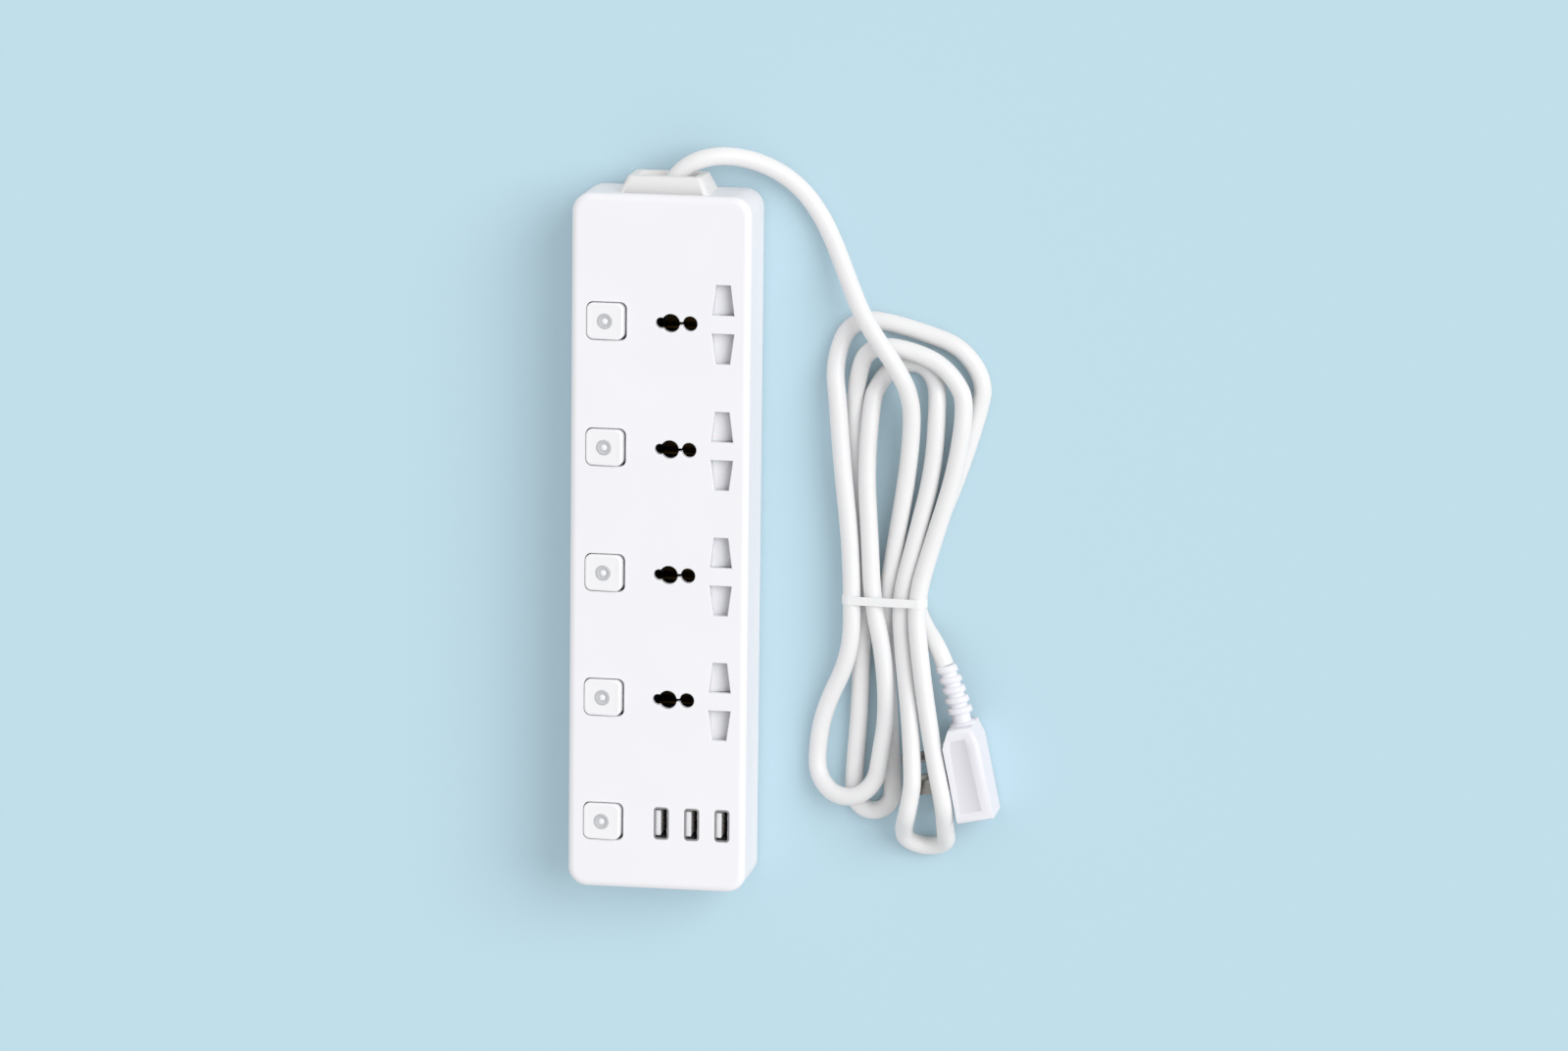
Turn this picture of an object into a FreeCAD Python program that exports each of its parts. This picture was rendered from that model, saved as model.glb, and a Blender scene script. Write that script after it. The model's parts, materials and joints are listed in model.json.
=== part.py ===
"""A four-socket extension strip with USB ports, its tied supply cord and its plug.

Frame: +Y runs to the end that the cord leaves, +X to the pin slots' side, +Z out of the
socket face.  The origin is the bottom centre of the strip, on the surface it stands on.
Sizes are in millimetres and angles in degrees.
"""

import FreeCAD
import Part
import math
import os
import re
import Sketcher

Vector = FreeCAD.Vector

# Every driving size: alias, value, what it is.
SIZES = [
    # the case
    ("body_width", 76, "case, side to side"),
    ("body_length", 296, "case, end to end"),
    ("body_height", 36, "socket face above the surface"),
    ("corner_radius", 8, "upright corners of the case"),
    ("edge_round", 3, "round along the rim of the socket face"),
    ("base_round", 2, "round along the bottom edge"),
    ("hole_round", 0.4, "round along the holes' edges in the socket face"),
    ("seam_round", 0.35, "round along the covers' joint"),
    ("wall", 2.4, "side walls of the case"),
    ("top_plate", 3, "thickness of the socket face"),
    ("base_plate", 2.4, "thickness of the bottom"),
    ("foot_proud", 1, "how far the feet lift the case"),
    ("part_line", 15, "height of the joint between the covers"),
    ("play", 0.15, "clearance between fixed pieces that slip together"),
    # screws, feet and hangers
    ("screw_side", 7, "corner screws, in from the sides"),
    ("screw_inset", 9, "corner screws, in from the ends"),
    ("middle_screw", 5.2, "middle screws, outwards from the switches"),
    ("screw_radius", 1.5, "shank of a case screw"),
    ("screw_length", 21, "shank of a case screw"),
    ("screw_head_radius", 3, "head of a case screw"),
    ("screw_head_height", 2, "head of a case screw"),
    ("screw_sink", 1, "depth of a head in its counterbore"),
    ("post_radius", 4, "screw posts in both covers"),
    ("foot_radius", 5, "rubber foot"),
    ("foot_height", 2.2, "rubber foot"),
    ("foot_side", 12, "feet, in from the sides"),
    ("foot_inset", 26, "feet, in from the ends"),
    ("hanger_inset", 52, "keyhole hangers, in from the ends"),
    ("hanger_head", 4.5, "radius of a keyhole's round end"),
    ("hanger_slot", 2.2, "half the width of a keyhole's slot"),
    ("hanger_run", 9, "length of a keyhole's slot"),
    # rows of sockets and switches
    ("first_inset", 53.5, "first socket row, in from the cord's end"),
    ("charger_inset", 28.7, "row of the charging ports, in from the other end"),
    ("switch_inset", 15.2, "switches, in from their side"),
    # rocker switches
    ("window_width", 17.2, "switch window along X"),
    ("window_length", 16.2, "switch window along Y"),
    ("window_round", 2.8, "upright corners of a switch window"),
    ("rocker_width", 15.8, "rocker along X"),
    ("rocker_length", 15.4, "rocker along Y"),
    ("rocker_round", 2.8, "upright corners of the rocker"),
    ("rocker_edge", 0.7, "round along the rocker's rim"),
    ("rocker_proud", 1.3, "rocker above the socket face when level"),
    ("rocker_skirt", 1.2, "rocker below its pivot"),
    ("rocker_tilt", 5, "rocker's lean at rest"),
    ("pivot_drop", 5.5, "pivot below the socket face"),
    ("pivot_radius", 1.2, "pivot pin of the rocker"),
    ("pivot_reach", 0.8, "pivot pin inside its bearing"),
    ("pivot_play", 0.05, "running clearance of the pivot"),
    ("side_play", 0.3, "between rocker and switch case along Y"),
    ("case_wall", 1.3, "walls of a switch case"),
    ("case_depth", 14, "switch case below the plate"),
    ("case_floor", 2, "bottom of a switch case"),
    ("plunger_width", 3, "plunger under the rocker"),
    ("plunger_length", 6, "plunger under the rocker"),
    ("plunger_drop", 5, "plunger below the pivot"),
    ("lens_radius", 3.2, "indicator lens"),
    ("lens_depth", 1, "indicator lens in the rocker"),
    ("lens_proud", 0.15, "indicator lens above the rocker"),
    ("lens_play", 0.05, "around the lens"),
    ("dimple_radius", 1.1, "dimple in the lens"),
    ("dimple_depth", 0.4, "dimple in the lens"),
    ("terminal_x", 4, "switch terminals, either side of the switch"),
    ("terminal_width", 4.8, "switch terminal along Y"),
    ("terminal_thick", 0.8, "switch terminal"),
    ("terminal_rise", 1.5, "switch terminal above the case's bottom"),
    # earth and pin holes
    ("earth_to_pins", 22.1, "from the large earth hole to the pin slots"),
    ("earth_radius", 3.9, "large earth hole"),
    ("earth_near", 4.1, "small earth hole, from the large one towards the switch"),
    ("earth_near_radius", 2.3, "small earth hole on the switch's side"),
    ("earth_far", 8.2, "round earth hole, from the large one towards the pins"),
    ("earth_far_radius", 3.15, "round earth hole on the pins' side"),
    ("earth_link", 1.3, "slit that joins the earth holes"),
    ("pin_inset", 11.5, "pin slots, in from their side"),
    ("slot_near", 3.8, "wide end of a pin slot, from the row's middle"),
    ("slot_far", 16.7, "narrow end of a pin slot, from the row's middle"),
    ("slot_wide", 9.6, "pin slot's width at its wide end"),
    ("slot_narrow", 6.2, "pin slot's width at its narrow end"),
    # shutters
    ("shutter_travel", 11.6, "how far a shutter slides"),
    ("shutter_lap", 0.6, "shutter past the slots, each side"),
    ("shutter_thick", 4, "shutter at its high edge"),
    ("shutter_low", 1.2, "shutter at its low edge"),
    ("shutter_rim", 1.6, "flat strip along the high edge"),
    ("shutter_bar", 1.6, "bar that joins the two arms"),
    ("shutter_gap", 7.4, "between the two arms"),
    ("slide_play", 0.1, "running clearance of the shutter"),
    ("spring_radius", 1.3, "shutter spring, to the wire's middle"),
    ("spring_wire", 0.25, "radius of the spring's wire"),
    ("spring_turns", 5, "turns of the shutter spring"),
    ("spring_post_gap", 9.3, "from the post's spring side to the pin slots' middle"),
    ("spring_post", 1.2, "post that the spring pushes on, along X"),
    ("spring_post_length", 5, "post that the spring pushes on, along Y"),
    # contact carriers, rails and clips
    ("carrier_gap", 0.9, "between a carrier and the switch case beside it"),
    ("carrier_side", 1, "between a carrier and the side wall"),
    ("carrier_half", 20.5, "half the carrier's length"),
    ("carrier_bottom", 12, "carrier's underside above the surface"),
    ("pillar", 2.4, "pillars between carrier and plate"),
    ("rail_thick", 0.8, "brass strip of the rails"),
    ("rail_width", 5, "live and earth rails"),
    ("earth_rail_shift", 3, "earth rail, from the large earth hole"),
    ("neutral_side", 2.4, "neutral rail's middle, in from the side wall"),
    ("neutral_width", 3.4, "neutral rail"),
    ("rail_inset", 29, "rails' ends, in from the cord's end"),
    ("rail_tail", 23, "rails past the last socket row"),
    ("clip_top", 26, "top of the contact clips"),
    ("clip_gap", 6, "between the leaves of a pin clip"),
    ("earth_clip_gap", 5.4, "between the leaves of an earth clip"),
    ("clip_near", 5, "pin clip's near end, from the row's middle"),
    ("clip_far", 15.6, "pin clip's far end, from the row's middle"),
    ("earth_clip_back", 5.8, "earth clip's end on the switch's side, from the large hole"),
    ("earth_clip_front", 11.2, "earth clip's end on the pins' side, from the large hole"),
    ("clip_margin", 1.4, "carrier pocket around a clip"),
    ("clip_lap", 0.8, "clip's foot under the carrier"),
    ("strap_height", 7.2, "underside of the live straps"),
    ("strap_width", 4, "live straps"),
    # charging ports
    ("port_first", 24.4, "first charging port, from the pin slots' line"),
    ("port_step", 13, "from one port to the next"),
    ("port_width", 6.4, "port window along X"),
    ("port_length", 13.9, "port window along Y"),
    ("port_round", 1.5, "upright corners of a port window"),
    ("port_play", 0.35, "around a port's shell"),
    ("port_sink", 0.4, "port's shell below the socket face"),
    ("port_wall", 0.35, "sheet of a port's shell"),
    ("port_depth", 13.2, "a port's shell"),
    ("tongue_thick", 2.1, "tongue of a port"),
    ("tongue_inset", 1.2, "tongue's ends, in from the shell"),
    ("tongue_sink", 1.2, "tongue below the shell's rim"),
    ("board_thick", 1.6, "charger's circuit board"),
    ("board_margin", 8.1, "circuit board past the first charging port"),
    ("board_side", 1.2, "between circuit board and side wall"),
    ("board_half", 12.5, "half the board's length"),
    ("board_post", 2.4, "posts under the board"),
    ("coil_width", 15, "charger's transformer along X"),
    ("coil_length", 13, "charger's transformer along Y"),
    ("coil_height", 11, "charger's transformer"),
    ("coil_shift", 4.9, "charger's transformer, from the first charging port"),
    ("cap_radius", 4, "smoothing capacitor"),
    ("cap_height", 11, "smoothing capacitor"),
    ("cap_shift", 22.9, "smoothing capacitors, from the first charging port"),
    ("cap_step", 10, "from one capacitor to the other"),
    # cord entry
    ("cord_radius", 3.8, "supply cord"),
    ("cord_height", 18, "supply cord's middle where it leaves"),
    ("bore_play", 0.2, "between cord and collar"),
    ("collar_base_width", 38, "collar at the case"),
    ("collar_base_height", 26, "collar at the case"),
    ("collar_tip_width", 31, "collar at its tip"),
    ("collar_tip_height", 22, "collar at its tip"),
    ("collar_reach", 7, "collar outside the case"),
    ("collar_neck_width", 26, "collar in the case's window"),
    ("collar_neck_height", 16, "collar in the case's window"),
    ("collar_flange", 2, "collar's flange inside the wall"),
    ("collar_lip", 2.5, "flange past the window, all round"),
    ("collar_sleeve", 8.6, "collar's sleeve inside the flange"),
    ("collar_sleeve_radius", 6.2, "sleeve at the flange"),
    ("collar_sleeve_tip", 5.2, "sleeve at its inner end"),
    ("mouth_width", 25, "collar's open mouth"),
    ("mouth_height", 14, "collar's open mouth"),
    ("mouth_depth", 10.8, "collar's open mouth"),
    ("collar_round", 2.4, "round along the collar's slanted edges"),
    ("collar_rim_round", 0.7, "round along the collar's rims"),
    ("clamp_inset", 17.8, "cord clamp, in from the cord's end"),
    ("clamp_length", 6, "cord clamp along the cord"),
    ("clamp_width", 27, "cord clamp across the cord"),
    ("clamp_cover", 3.6, "cord clamp over the cord"),
    ("clamp_screw_x", 9.4, "clamp screws, either side of the cord"),
    ("clamp_screw_length", 15, "clamp screw"),
    ("clamp_head_radius", 2.6, "head of a clamp screw"),
    ("clamp_head_height", 1.8, "head of a clamp screw"),
    ("cord_end_inset", 24, "end of the cord's sheath, in from the case's end"),
    # plug
    ("plug_x", 121.5, "cord's entry into the plug"),
    ("plug_y", -50, "cord's entry into the plug"),
    ("plug_lean", 12, "plug's turn from the strip's length"),
    ("plug_bottom", 0.2, "plug above the surface"),
    ("plug_height", 25, "plug, upwards"),
    ("plug_back", 7, "plug's back from the cord's middle"),
    ("plug_face", 8.5, "pin face from the cord's middle"),
    ("plug_length", 40, "plug's body"),
    ("plug_shoulder", 7, "taper towards the cord"),
    ("plug_throat", 5, "half the body's width at the cord"),
    ("plug_round", 2.2, "round along the plug's edges"),
    ("relief_length", 26, "plug's ribbed relief"),
    ("relief_tip", 4.5, "relief's radius at the cord"),
    ("relief_base", 5.6, "relief's radius at the body"),
    ("relief_ribs", 5, "grooves in the relief"),
    ("relief_groove", 1.8, "groove along the cord"),
    ("relief_core", 4.2, "relief's radius in a groove"),
    ("bridge_length", 32, "pin bridge along the plug"),
    ("bridge_height", 20, "pin bridge, upwards"),
    ("bridge_thick", 5, "pin bridge"),
    ("bridge_start", 5, "pin bridge from the body's cord end"),
    ("blade_gap", 12.7, "between the blades' middles"),
    ("blade_width", 6.35, "blade along the plug"),
    ("blade_thick", 1.5, "blade"),
    ("blade_reach", 17, "blade outside the plug"),
    ("earth_pin_radius", 2.38, "earth pin"),
    ("earth_pin_reach", 20, "earth pin outside the plug"),
    ("earth_pin_inset", 11, "earth pin from the body's cord end"),
    ("pin_spread", 11.9, "from the earth pin to the blades"),
    ("pin_root", 7, "pins inside the plug"),
    # tie
    ("tie_y", -24, "tie around the folded cord"),
    ("tie_left", 74, "tie's left side"),
    ("tie_right", 113.4, "tie's right side"),
    ("tie_bottom", 0.1, "tie above the surface"),
    ("tie_height", 19, "tie, upwards"),
    ("tie_width", 3.6, "tie along the cord"),
    ("tie_thick", 1.1, "tie"),
    ("tie_round", 3.5, "tie's corners"),
]

SOCKET_ROWS = 4
PORTS = 3
FRONT_LEFT = ((-1, -1), (-1, 1), (1, -1), (1, 1))
OVERCUT = 1

# The free cord from its collar to the folded part, as points on its middle line.
SUPPLY_ROUTE = [
    (0, 144, 18), (0, 147.2, 18), (1.4, 151.4, 18), (4.8, 156, 17.7), (10, 159.9, 17),
    (16.8, 162.3, 15.6), (25, 162.7, 13), (35, 160.6, 9.6), (45.5, 155.6, 6.2),
    (54.4, 148.4, 4.3), (61.8, 139, 3.9), (68, 128, 3.9), (73, 117, 5.4), (77.6, 107, 9.8),
    (82.4, 97.6, 15.2), (88, 89.5, 18.6),
]
# The cord's last stretch, from the tie towards the plug, and its straight end in front of it.
TAIL_ROUTE = [(110.6, -29, 4.6), (114.4, -35.8, 7.8), (117.8, -40.2, 11.2)]
TAIL_STRAIGHT = 6

# Outline of the folded cord, seen from above, and of the folds that lie over the plug's pins.
HANK_OUTLINE = [
    (69, 50), (69.6, 76), (76, 93), (90, 95.6), (112, 90.6), (130, 82), (138, 64),
    (135, 42), (124, 8), (113, -16), (113, -34), (114.6, -50), (116.6, -74), (118.6, -92),
    (121.4, -106), (123.8, -119), (121.6, -132), (112, -137.2), (103, -131), (98, -119),
    (88, -119.8), (74, -115.4), (61.4, -110), (58.6, -94), (64.4, -68), (72.6, -44),
    (74.2, -24), (74, 0), (70.6, 28),
]
HANK_BOTTOM = 0.1
HANK_TOP = 22.6
BRIDGE_OUTLINE = [
    (100.2, -66), (100.4, -112), (99.4, -124), (108, -131), (118, -129), (122.6, -118),
    (120.4, -106), (118.2, -92), (116.2, -70), (110, -58),
]
BRIDGE_TOP = 28.6
PIN_ROOM = 0.5
PLUG_ROOM = 0.3

CORE_RADIUS = 1.1
CHARGER_WIRE_RADIUS = 0.9
BEND_SHARE = 0.45

doc = FreeCAD.newDocument("extension_strip")
sheet = doc.addObject("Spreadsheet::Sheet", "Sizes")
ALIASES = set()
NODES = []


def fill_sheet():
    """Write every driving size into the spreadsheet, with its alias."""
    for row, (alias, value, meaning) in enumerate(SIZES, start=1):
        sheet.set(f"A{row}", meaning)
        sheet.set(f"B{row}", str(value))
        sheet.setAlias(f"B{row}", alias)
        ALIASES.add(alias)
    doc.recompute()


def formula(text):
    """The expression for a formula that is written with plain aliases."""
    def full_name(word):
        return f"Sizes.{word.group()}" if word.group() in ALIASES else word.group()
    return re.sub(r"[a-z_]+", full_name, str(text))


def value(text):
    """The number that a formula gives now."""
    return float(sheet.evalExpression(formula(text)))


def bind(item, **formulas):
    """Tie properties of an object to formulas."""
    for name, text in formulas.items():
        item.setExpression(name, formula(text))


def place(item, x, y, z):
    """Tie an object's place to formulas."""
    item.setExpression("Placement.Base.x", formula(x))
    item.setExpression("Placement.Base.y", formula(y))
    item.setExpression("Placement.Base.z", formula(z))


def block(x, y, z, width, length, height, name="block"):
    """A box centred on x and y that stands on z."""
    item = doc.addObject("Part::Box", name)
    bind(item, Length=width, Width=length, Height=height)
    place(item, f"({x}) - ({width}) / 2", f"({y}) - ({length}) / 2", z)
    return item


def span(low, high, name="span"):
    """A box from its low corner to its high corner, both given as formulas."""
    item = doc.addObject("Part::Box", name)
    sizes = [f"({end}) - ({start})" for start, end in zip(low, high)]
    bind(item, Length=sizes[0], Width=sizes[1], Height=sizes[2])
    place(item, *low)
    return item


TURNS = {
    "z": FreeCAD.Rotation(),
    "x": FreeCAD.Rotation(Vector(0, 1, 0), 90),
    "y": FreeCAD.Rotation(Vector(1, 0, 0), -90),
}


def rod(x, y, z, radius, length, along="z", name="rod"):
    """A cylinder that starts at a point and runs along one axis."""
    item = doc.addObject("Part::Cylinder", name)
    item.Placement = FreeCAD.Placement(Vector(), TURNS[along])
    bind(item, Radius=radius, Height=length)
    place(item, x, y, z)
    return item


def cone(x, y, z, start_radius, end_radius, length, along="z", name="cone"):
    """A cone that starts at a point and runs along one axis."""
    item = doc.addObject("Part::Cone", name)
    item.Placement = FreeCAD.Placement(Vector(), TURNS[along])
    bind(item, Radius1=start_radius, Radius2=end_radius, Height=length)
    place(item, x, y, z)
    return item


def taper(x, z, start, end, start_size, end_size, name="taper"):
    """A block along Y whose section, centred on x and z, changes from one size to another."""
    item = doc.addObject("Part::Wedge", name)
    bind(
        item, Ymin=start, Ymax=end,
        Xmin=f"({x}) - ({start_size[0]}) / 2", Xmax=f"({x}) + ({start_size[0]}) / 2",
        Zmin=f"({z}) - ({start_size[1]}) / 2", Zmax=f"({z}) + ({start_size[1]}) / 2",
        X2min=f"({x}) - ({end_size[0]}) / 2", X2max=f"({x}) + ({end_size[0]}) / 2",
        Z2min=f"({z}) - ({end_size[1]}) / 2", Z2max=f"({z}) + ({end_size[1]}) / 2",
    )
    return item


def fuse(items, name="fused"):
    """All the objects as one shape, with the seams between flush faces taken out."""
    item = doc.addObject("Part::MultiFuse", name)
    item.Shapes = items
    item.Refine = True
    return item


def cut(base, tools, name="cut"):
    """The base without the tools."""
    item = doc.addObject("Part::Cut", name)
    item.Base = base
    item.Tool = tools[0] if len(tools) == 1 else fuse(tools, f"{name}_tools")
    return item


def group(items, name="group"):
    """Separate solids that share one node."""
    item = doc.addObject("Part::Compound", name)
    item.Links = items
    return item


def node(name, item):
    """Name an object as a sub-part of the strip."""
    item.Label = name
    NODES.append((name, item))
    return item


def is_upright(edge):
    """Whether an edge is a straight line along Z."""
    ends = [vertex.Point for vertex in edge.Vertexes]
    return len(ends) == 2 and abs((ends[1] - ends[0]).normalize().z) > 0.999


def lies_at(edge, height):
    """Whether an edge lies flat at one height."""
    box = edge.BoundBox
    return abs(box.ZMin - height) < 1e-6 and abs(box.ZMax - height) < 1e-6


def round_edges(body, base, chosen, radius, name):
    """Add a fillet to a body, on the edges of its last feature that are chosen."""
    doc.recompute()
    names = [f"Edge{n}" for n, edge in enumerate(base.Shape.Edges, start=1) if chosen(edge)]
    item = body.newObject("PartDesign::Fillet", name)
    item.Base = (base, names)
    bind(item, Radius=radius)
    return item


def sketch_outline(body, plane_role, offset, corners):
    """A closed sketch through corners that formulas place, on one of the body's own planes."""
    sketch = body.newObject("Sketcher::SketchObject", f"{body.Name}_outline")
    plane = [item for item in body.Origin.OriginFeatures if item.Role == plane_role][0]
    sketch.AttachmentSupport = [(plane, "")]
    sketch.MapMode = "FlatFace"
    sketch.setExpression("AttachmentOffset.Base.z", formula(offset))
    points = [Vector(value(x), value(y), 0) for x, y in corners]
    ahead = points[1:] + points[:1]
    for start, end in zip(points, ahead):
        sketch.addGeometry(Part.LineSegment(start, end), False)
    for line in range(len(points)):
        following = (line + 1) % len(points)
        sketch.addConstraint(Sketcher.Constraint("Coincident", line, 2, following, 1))
    for line, (corner, point) in enumerate(zip(corners, points)):
        for kind, text, size in zip(("DistanceX", "DistanceY"), corner, point):
            index = sketch.addConstraint(Sketcher.Constraint(kind, -1, 1, line, 1, size))
            sketch.setExpression(f"Constraints[{index}]", formula(text))
    return sketch


def padded(name, plane_role, offset, corners, length, both_ways=False):
    """A body with one padded outline."""
    body = doc.addObject("PartDesign::Body", name)
    sketch = sketch_outline(body, plane_role, offset, corners)
    pad = body.newObject("PartDesign::Pad", f"{name}_pad")
    pad.Profile = sketch
    pad.SideType = "Symmetric" if both_ways else "One side"
    bind(pad, Length=length)
    return body, pad


def centred_rectangle(width, length):
    """Corners of a rectangle around the origin."""
    return [
        (f"-({width}) / 2", f"-({length}) / 2"), (f"({width}) / 2", f"-({length}) / 2"),
        (f"({width}) / 2", f"({length}) / 2"), (f"-({width}) / 2", f"({length}) / 2"),
    ]


def bend_route(points, closed=False):
    """Straight runs joined by tangent arcs, as a wire, with the arcs' radii."""
    points = [Vector(*point) for point in points]
    if closed:
        corners = list(zip(points[-1:] + points[:-1], points, points[1:] + points[:1]))
    else:
        corners = list(zip(points, points[1:], points[2:]))
    arcs = []
    radii = []
    for before, corner, after in corners:
        reach = BEND_SHARE * min((before - corner).Length, (after - corner).Length)
        inward = (before - corner).normalize()
        outward = (after - corner).normalize()
        half_turn = (math.pi - inward.getAngle(outward)) / 2
        radius = reach / math.tan(half_turn)
        middle = corner + (inward + outward).normalize() * (radius / math.cos(half_turn) - radius)
        arcs.append((corner + inward * reach, middle, corner + outward * reach))
        radii.append(radius)
    stops = [point for arc in arcs for point in (arc[0], arc[2])]
    stops = stops[1:] + stops[:1] if closed else [points[0]] + stops + [points[-1]]
    lines = [Part.LineSegment(a, b).toShape() for a, b in zip(stops[::2], stops[1::2])]
    bends = [Part.Arc(*arc).toShape() for arc in arcs]
    edges = [edge for pair in zip(bends, lines) for edge in pair] if closed else lines[:1]
    if not closed:
        for bend, line in zip(bends, lines[1:]):
            edges += [bend, line]
    return Part.Wire(edges), radii


def tube(points, radius):
    """A round tube along a bent route, checked against its section times its length."""
    wire, radii = bend_route(points)
    start = Vector(*points[0])
    heading = Vector(*points[1]) - start
    ring = Part.Wire(Part.Circle(start, heading, radius).toShape())
    shape = wire.makePipeShell([ring], True, False)
    wanted = math.pi * radius ** 2 * wire.Length
    print(f"tube {wire.Length:.1f} mm long, volume {shape.Volume / wanted:.4f} of section x length,"
          f" tightest bend {min(radii):.1f} mm")
    return shape


def placed(route):
    """The points of a route whose coordinates are formulas."""
    return [tuple(value(coordinate) for coordinate in point) for point in route]


def own_shape(name, shape):
    """An object that holds a shape made by hand."""
    item = doc.addObject("Part::Feature", name)
    item.Shape = shape
    return item


# Places that several pieces share, as formulas.
PLATE_UNDER = "(body_height - top_plate)"
FLOOR = "(foot_proud + base_plate)"
END = "(body_length / 2)"
INNER_END = "(body_length / 2 - wall)"
INNER_SIDE = "(body_width / 2 - wall)"
SWITCH_X = "(switch_inset - body_width / 2)"
PIN_X = "(body_width / 2 - pin_inset)"
EARTH_X = f"({PIN_X} - earth_to_pins)"
PIVOT = "(body_height - pivot_drop)"
RAIL_UNDER = "(carrier_bottom - rail_thick)"
RAIL_START = "(body_length / 2 - rail_inset)"
LIVE_X = f"({SWITCH_X} + terminal_x)"
EARTH_RAIL_X = f"({EARTH_X} + earth_rail_shift)"
NEUTRAL_X = f"({INNER_SIDE} - neutral_side)"
EARTH_CLIP_LEFT = f"({EARTH_X} - earth_clip_back)"
EARTH_CLIP_RIGHT = f"({EARTH_X} + earth_clip_front)"
CARRIER_LEFT = f"({SWITCH_X} + window_width / 2 + case_wall + carrier_gap)"
CARRIER_RIGHT = f"({INNER_SIDE} - carrier_side)"
CARRIER_TOP = "(body_height - top_plate - shutter_thick - 2 * slide_play - 0.3)"
SPRING_POST_X = f"({PIN_X} - spring_post_gap)"
SHUTTER_LEFT = f"({PIN_X} - slot_wide / 2 - shutter_lap)"
SHUTTER_RIGHT = f"({PIN_X} + slot_wide / 2 + shutter_lap + shutter_bar)"
SHUTTER_HALF = "(slot_far + shutter_lap)"
PORT_X = f"({PIN_X} - port_first)"
BOARD_TOP = "(body_height - port_sink - port_depth)"
BOARD_UNDER = f"({BOARD_TOP} - board_thick)"
BOARD_LEFT = f"({PORT_X} - board_margin)"
BOARD_RIGHT = f"({INNER_SIDE} - board_side)"
CLAMP_Y = "(body_length / 2 - clamp_inset)"
CORD_END = "(body_length / 2 - cord_end_inset)"
CHARGER_ROW = "(charger_inset - body_length / 2)"
ROW_STEP = f"((body_length - first_inset - charger_inset) / {SOCKET_ROWS})"
ROWS = [f"(body_length / 2 - first_inset - {n} * {ROW_STEP})" for n in range(SOCKET_ROWS)]
SWITCH_ROWS = ROWS + [CHARGER_ROW]
BETWEEN_ROWS = [f"({row} - {ROW_STEP} / 2)" for row in ROWS]
PORT_XS = [f"({PORT_X} + {n} * port_step)" for n in range(PORTS)]
CLAMP_XS = ["-clamp_screw_x", "clamp_screw_x"]
MIDDLE_SCREWS = [(f"({SWITCH_X} - middle_screw)", BETWEEN_ROWS[n]) for n in (0, 2)]
CORNER_SCREWS = [
    (f"{side} * (body_width / 2 - screw_side)", f"{end} * (body_length / 2 - screw_inset)")
    for side, end in FRONT_LEFT
]
SCREWS = CORNER_SCREWS + MIDDLE_SCREWS
FEET = [
    (f"{side} * (body_width / 2 - foot_side)", f"{end} * (body_length / 2 - foot_inset)")
    for side, end in FRONT_LEFT
]
HANGERS = ["(body_length / 2 - hanger_inset)", "(hanger_inset - body_length / 2)"]

# Cores of the cord inside the case, from the end of its sheath down to the rails.
LIVE_CORE = [
    ("-1.6", CORD_END, "17"), ("-1.6", f"{CORD_END} - 2", "17"), ("-5", f"{CORD_END} - 5.2", "16.8"),
    (f"{LIVE_X} + 6", f"{RAIL_START} - 2", "16.2"), (LIVE_X, f"{RAIL_START} - 2", "15.6"),
    (LIVE_X, f"{RAIL_START} - 2", "carrier_bottom"),
]
EARTH_CORE = [
    ("0.2", CORD_END, "19.4"), ("0.2", f"{CORD_END} - 2.4", "19.4"),
    (f"{EARTH_RAIL_X} - 3.4", f"{RAIL_START} - 1", "18"), (EARTH_RAIL_X, f"{RAIL_START} - 2", "15.6"),
    (EARTH_RAIL_X, f"{RAIL_START} - 2", "carrier_bottom"),
]
NEUTRAL_CORE = [
    ("1.7", CORD_END, "16.8"), ("1.7", f"{CORD_END} - 1.8", "16.8"), ("5", f"{CORD_END} - 3.2", "16.8"),
    ("12", f"{CORD_END} - 4", "16.6"), (f"{NEUTRAL_X} - 11", f"{CORD_END} - 5.6", "16"),
    (NEUTRAL_X, f"{RAIL_START} - 2", "15.4"), (NEUTRAL_X, f"{RAIL_START} - 2", "carrier_bottom"),
]
# Wires of the charging ports: from their switch, and from the neutral rail, to the board.
CHARGER_LIVE = [
    (f"{SWITCH_X} - terminal_x", CHARGER_ROW, "carrier_bottom"),
    (f"{SWITCH_X} - terminal_x", CHARGER_ROW, "carrier_bottom - 4"),
    (f"{BOARD_LEFT} + 3.1", CHARGER_ROW, "carrier_bottom - 4"),
    (f"{BOARD_LEFT} + 3.1", CHARGER_ROW, BOARD_UNDER),
]
NEUTRAL_END = f"({ROWS[-1]} - rail_tail)"
CHARGER_NEUTRAL = [
    (NEUTRAL_X, f"{NEUTRAL_END} + 1.3", "carrier_bottom"), (NEUTRAL_X, f"{NEUTRAL_END} + 1.3", "15.6"),
    (f"{NEUTRAL_X} - 4", f"{NEUTRAL_END} - 7", "16"), (f"{PORT_X} + 16.5", f"{CHARGER_ROW} + 13.4", "16.6"),
    (f"{PORT_X} + 15.5", f"{CHARGER_ROW} + 10", f"{BOARD_UNDER} - 3"),
    (f"{PORT_X} + 15.5", f"{CHARGER_ROW} + 10", BOARD_UNDER),
]


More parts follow.
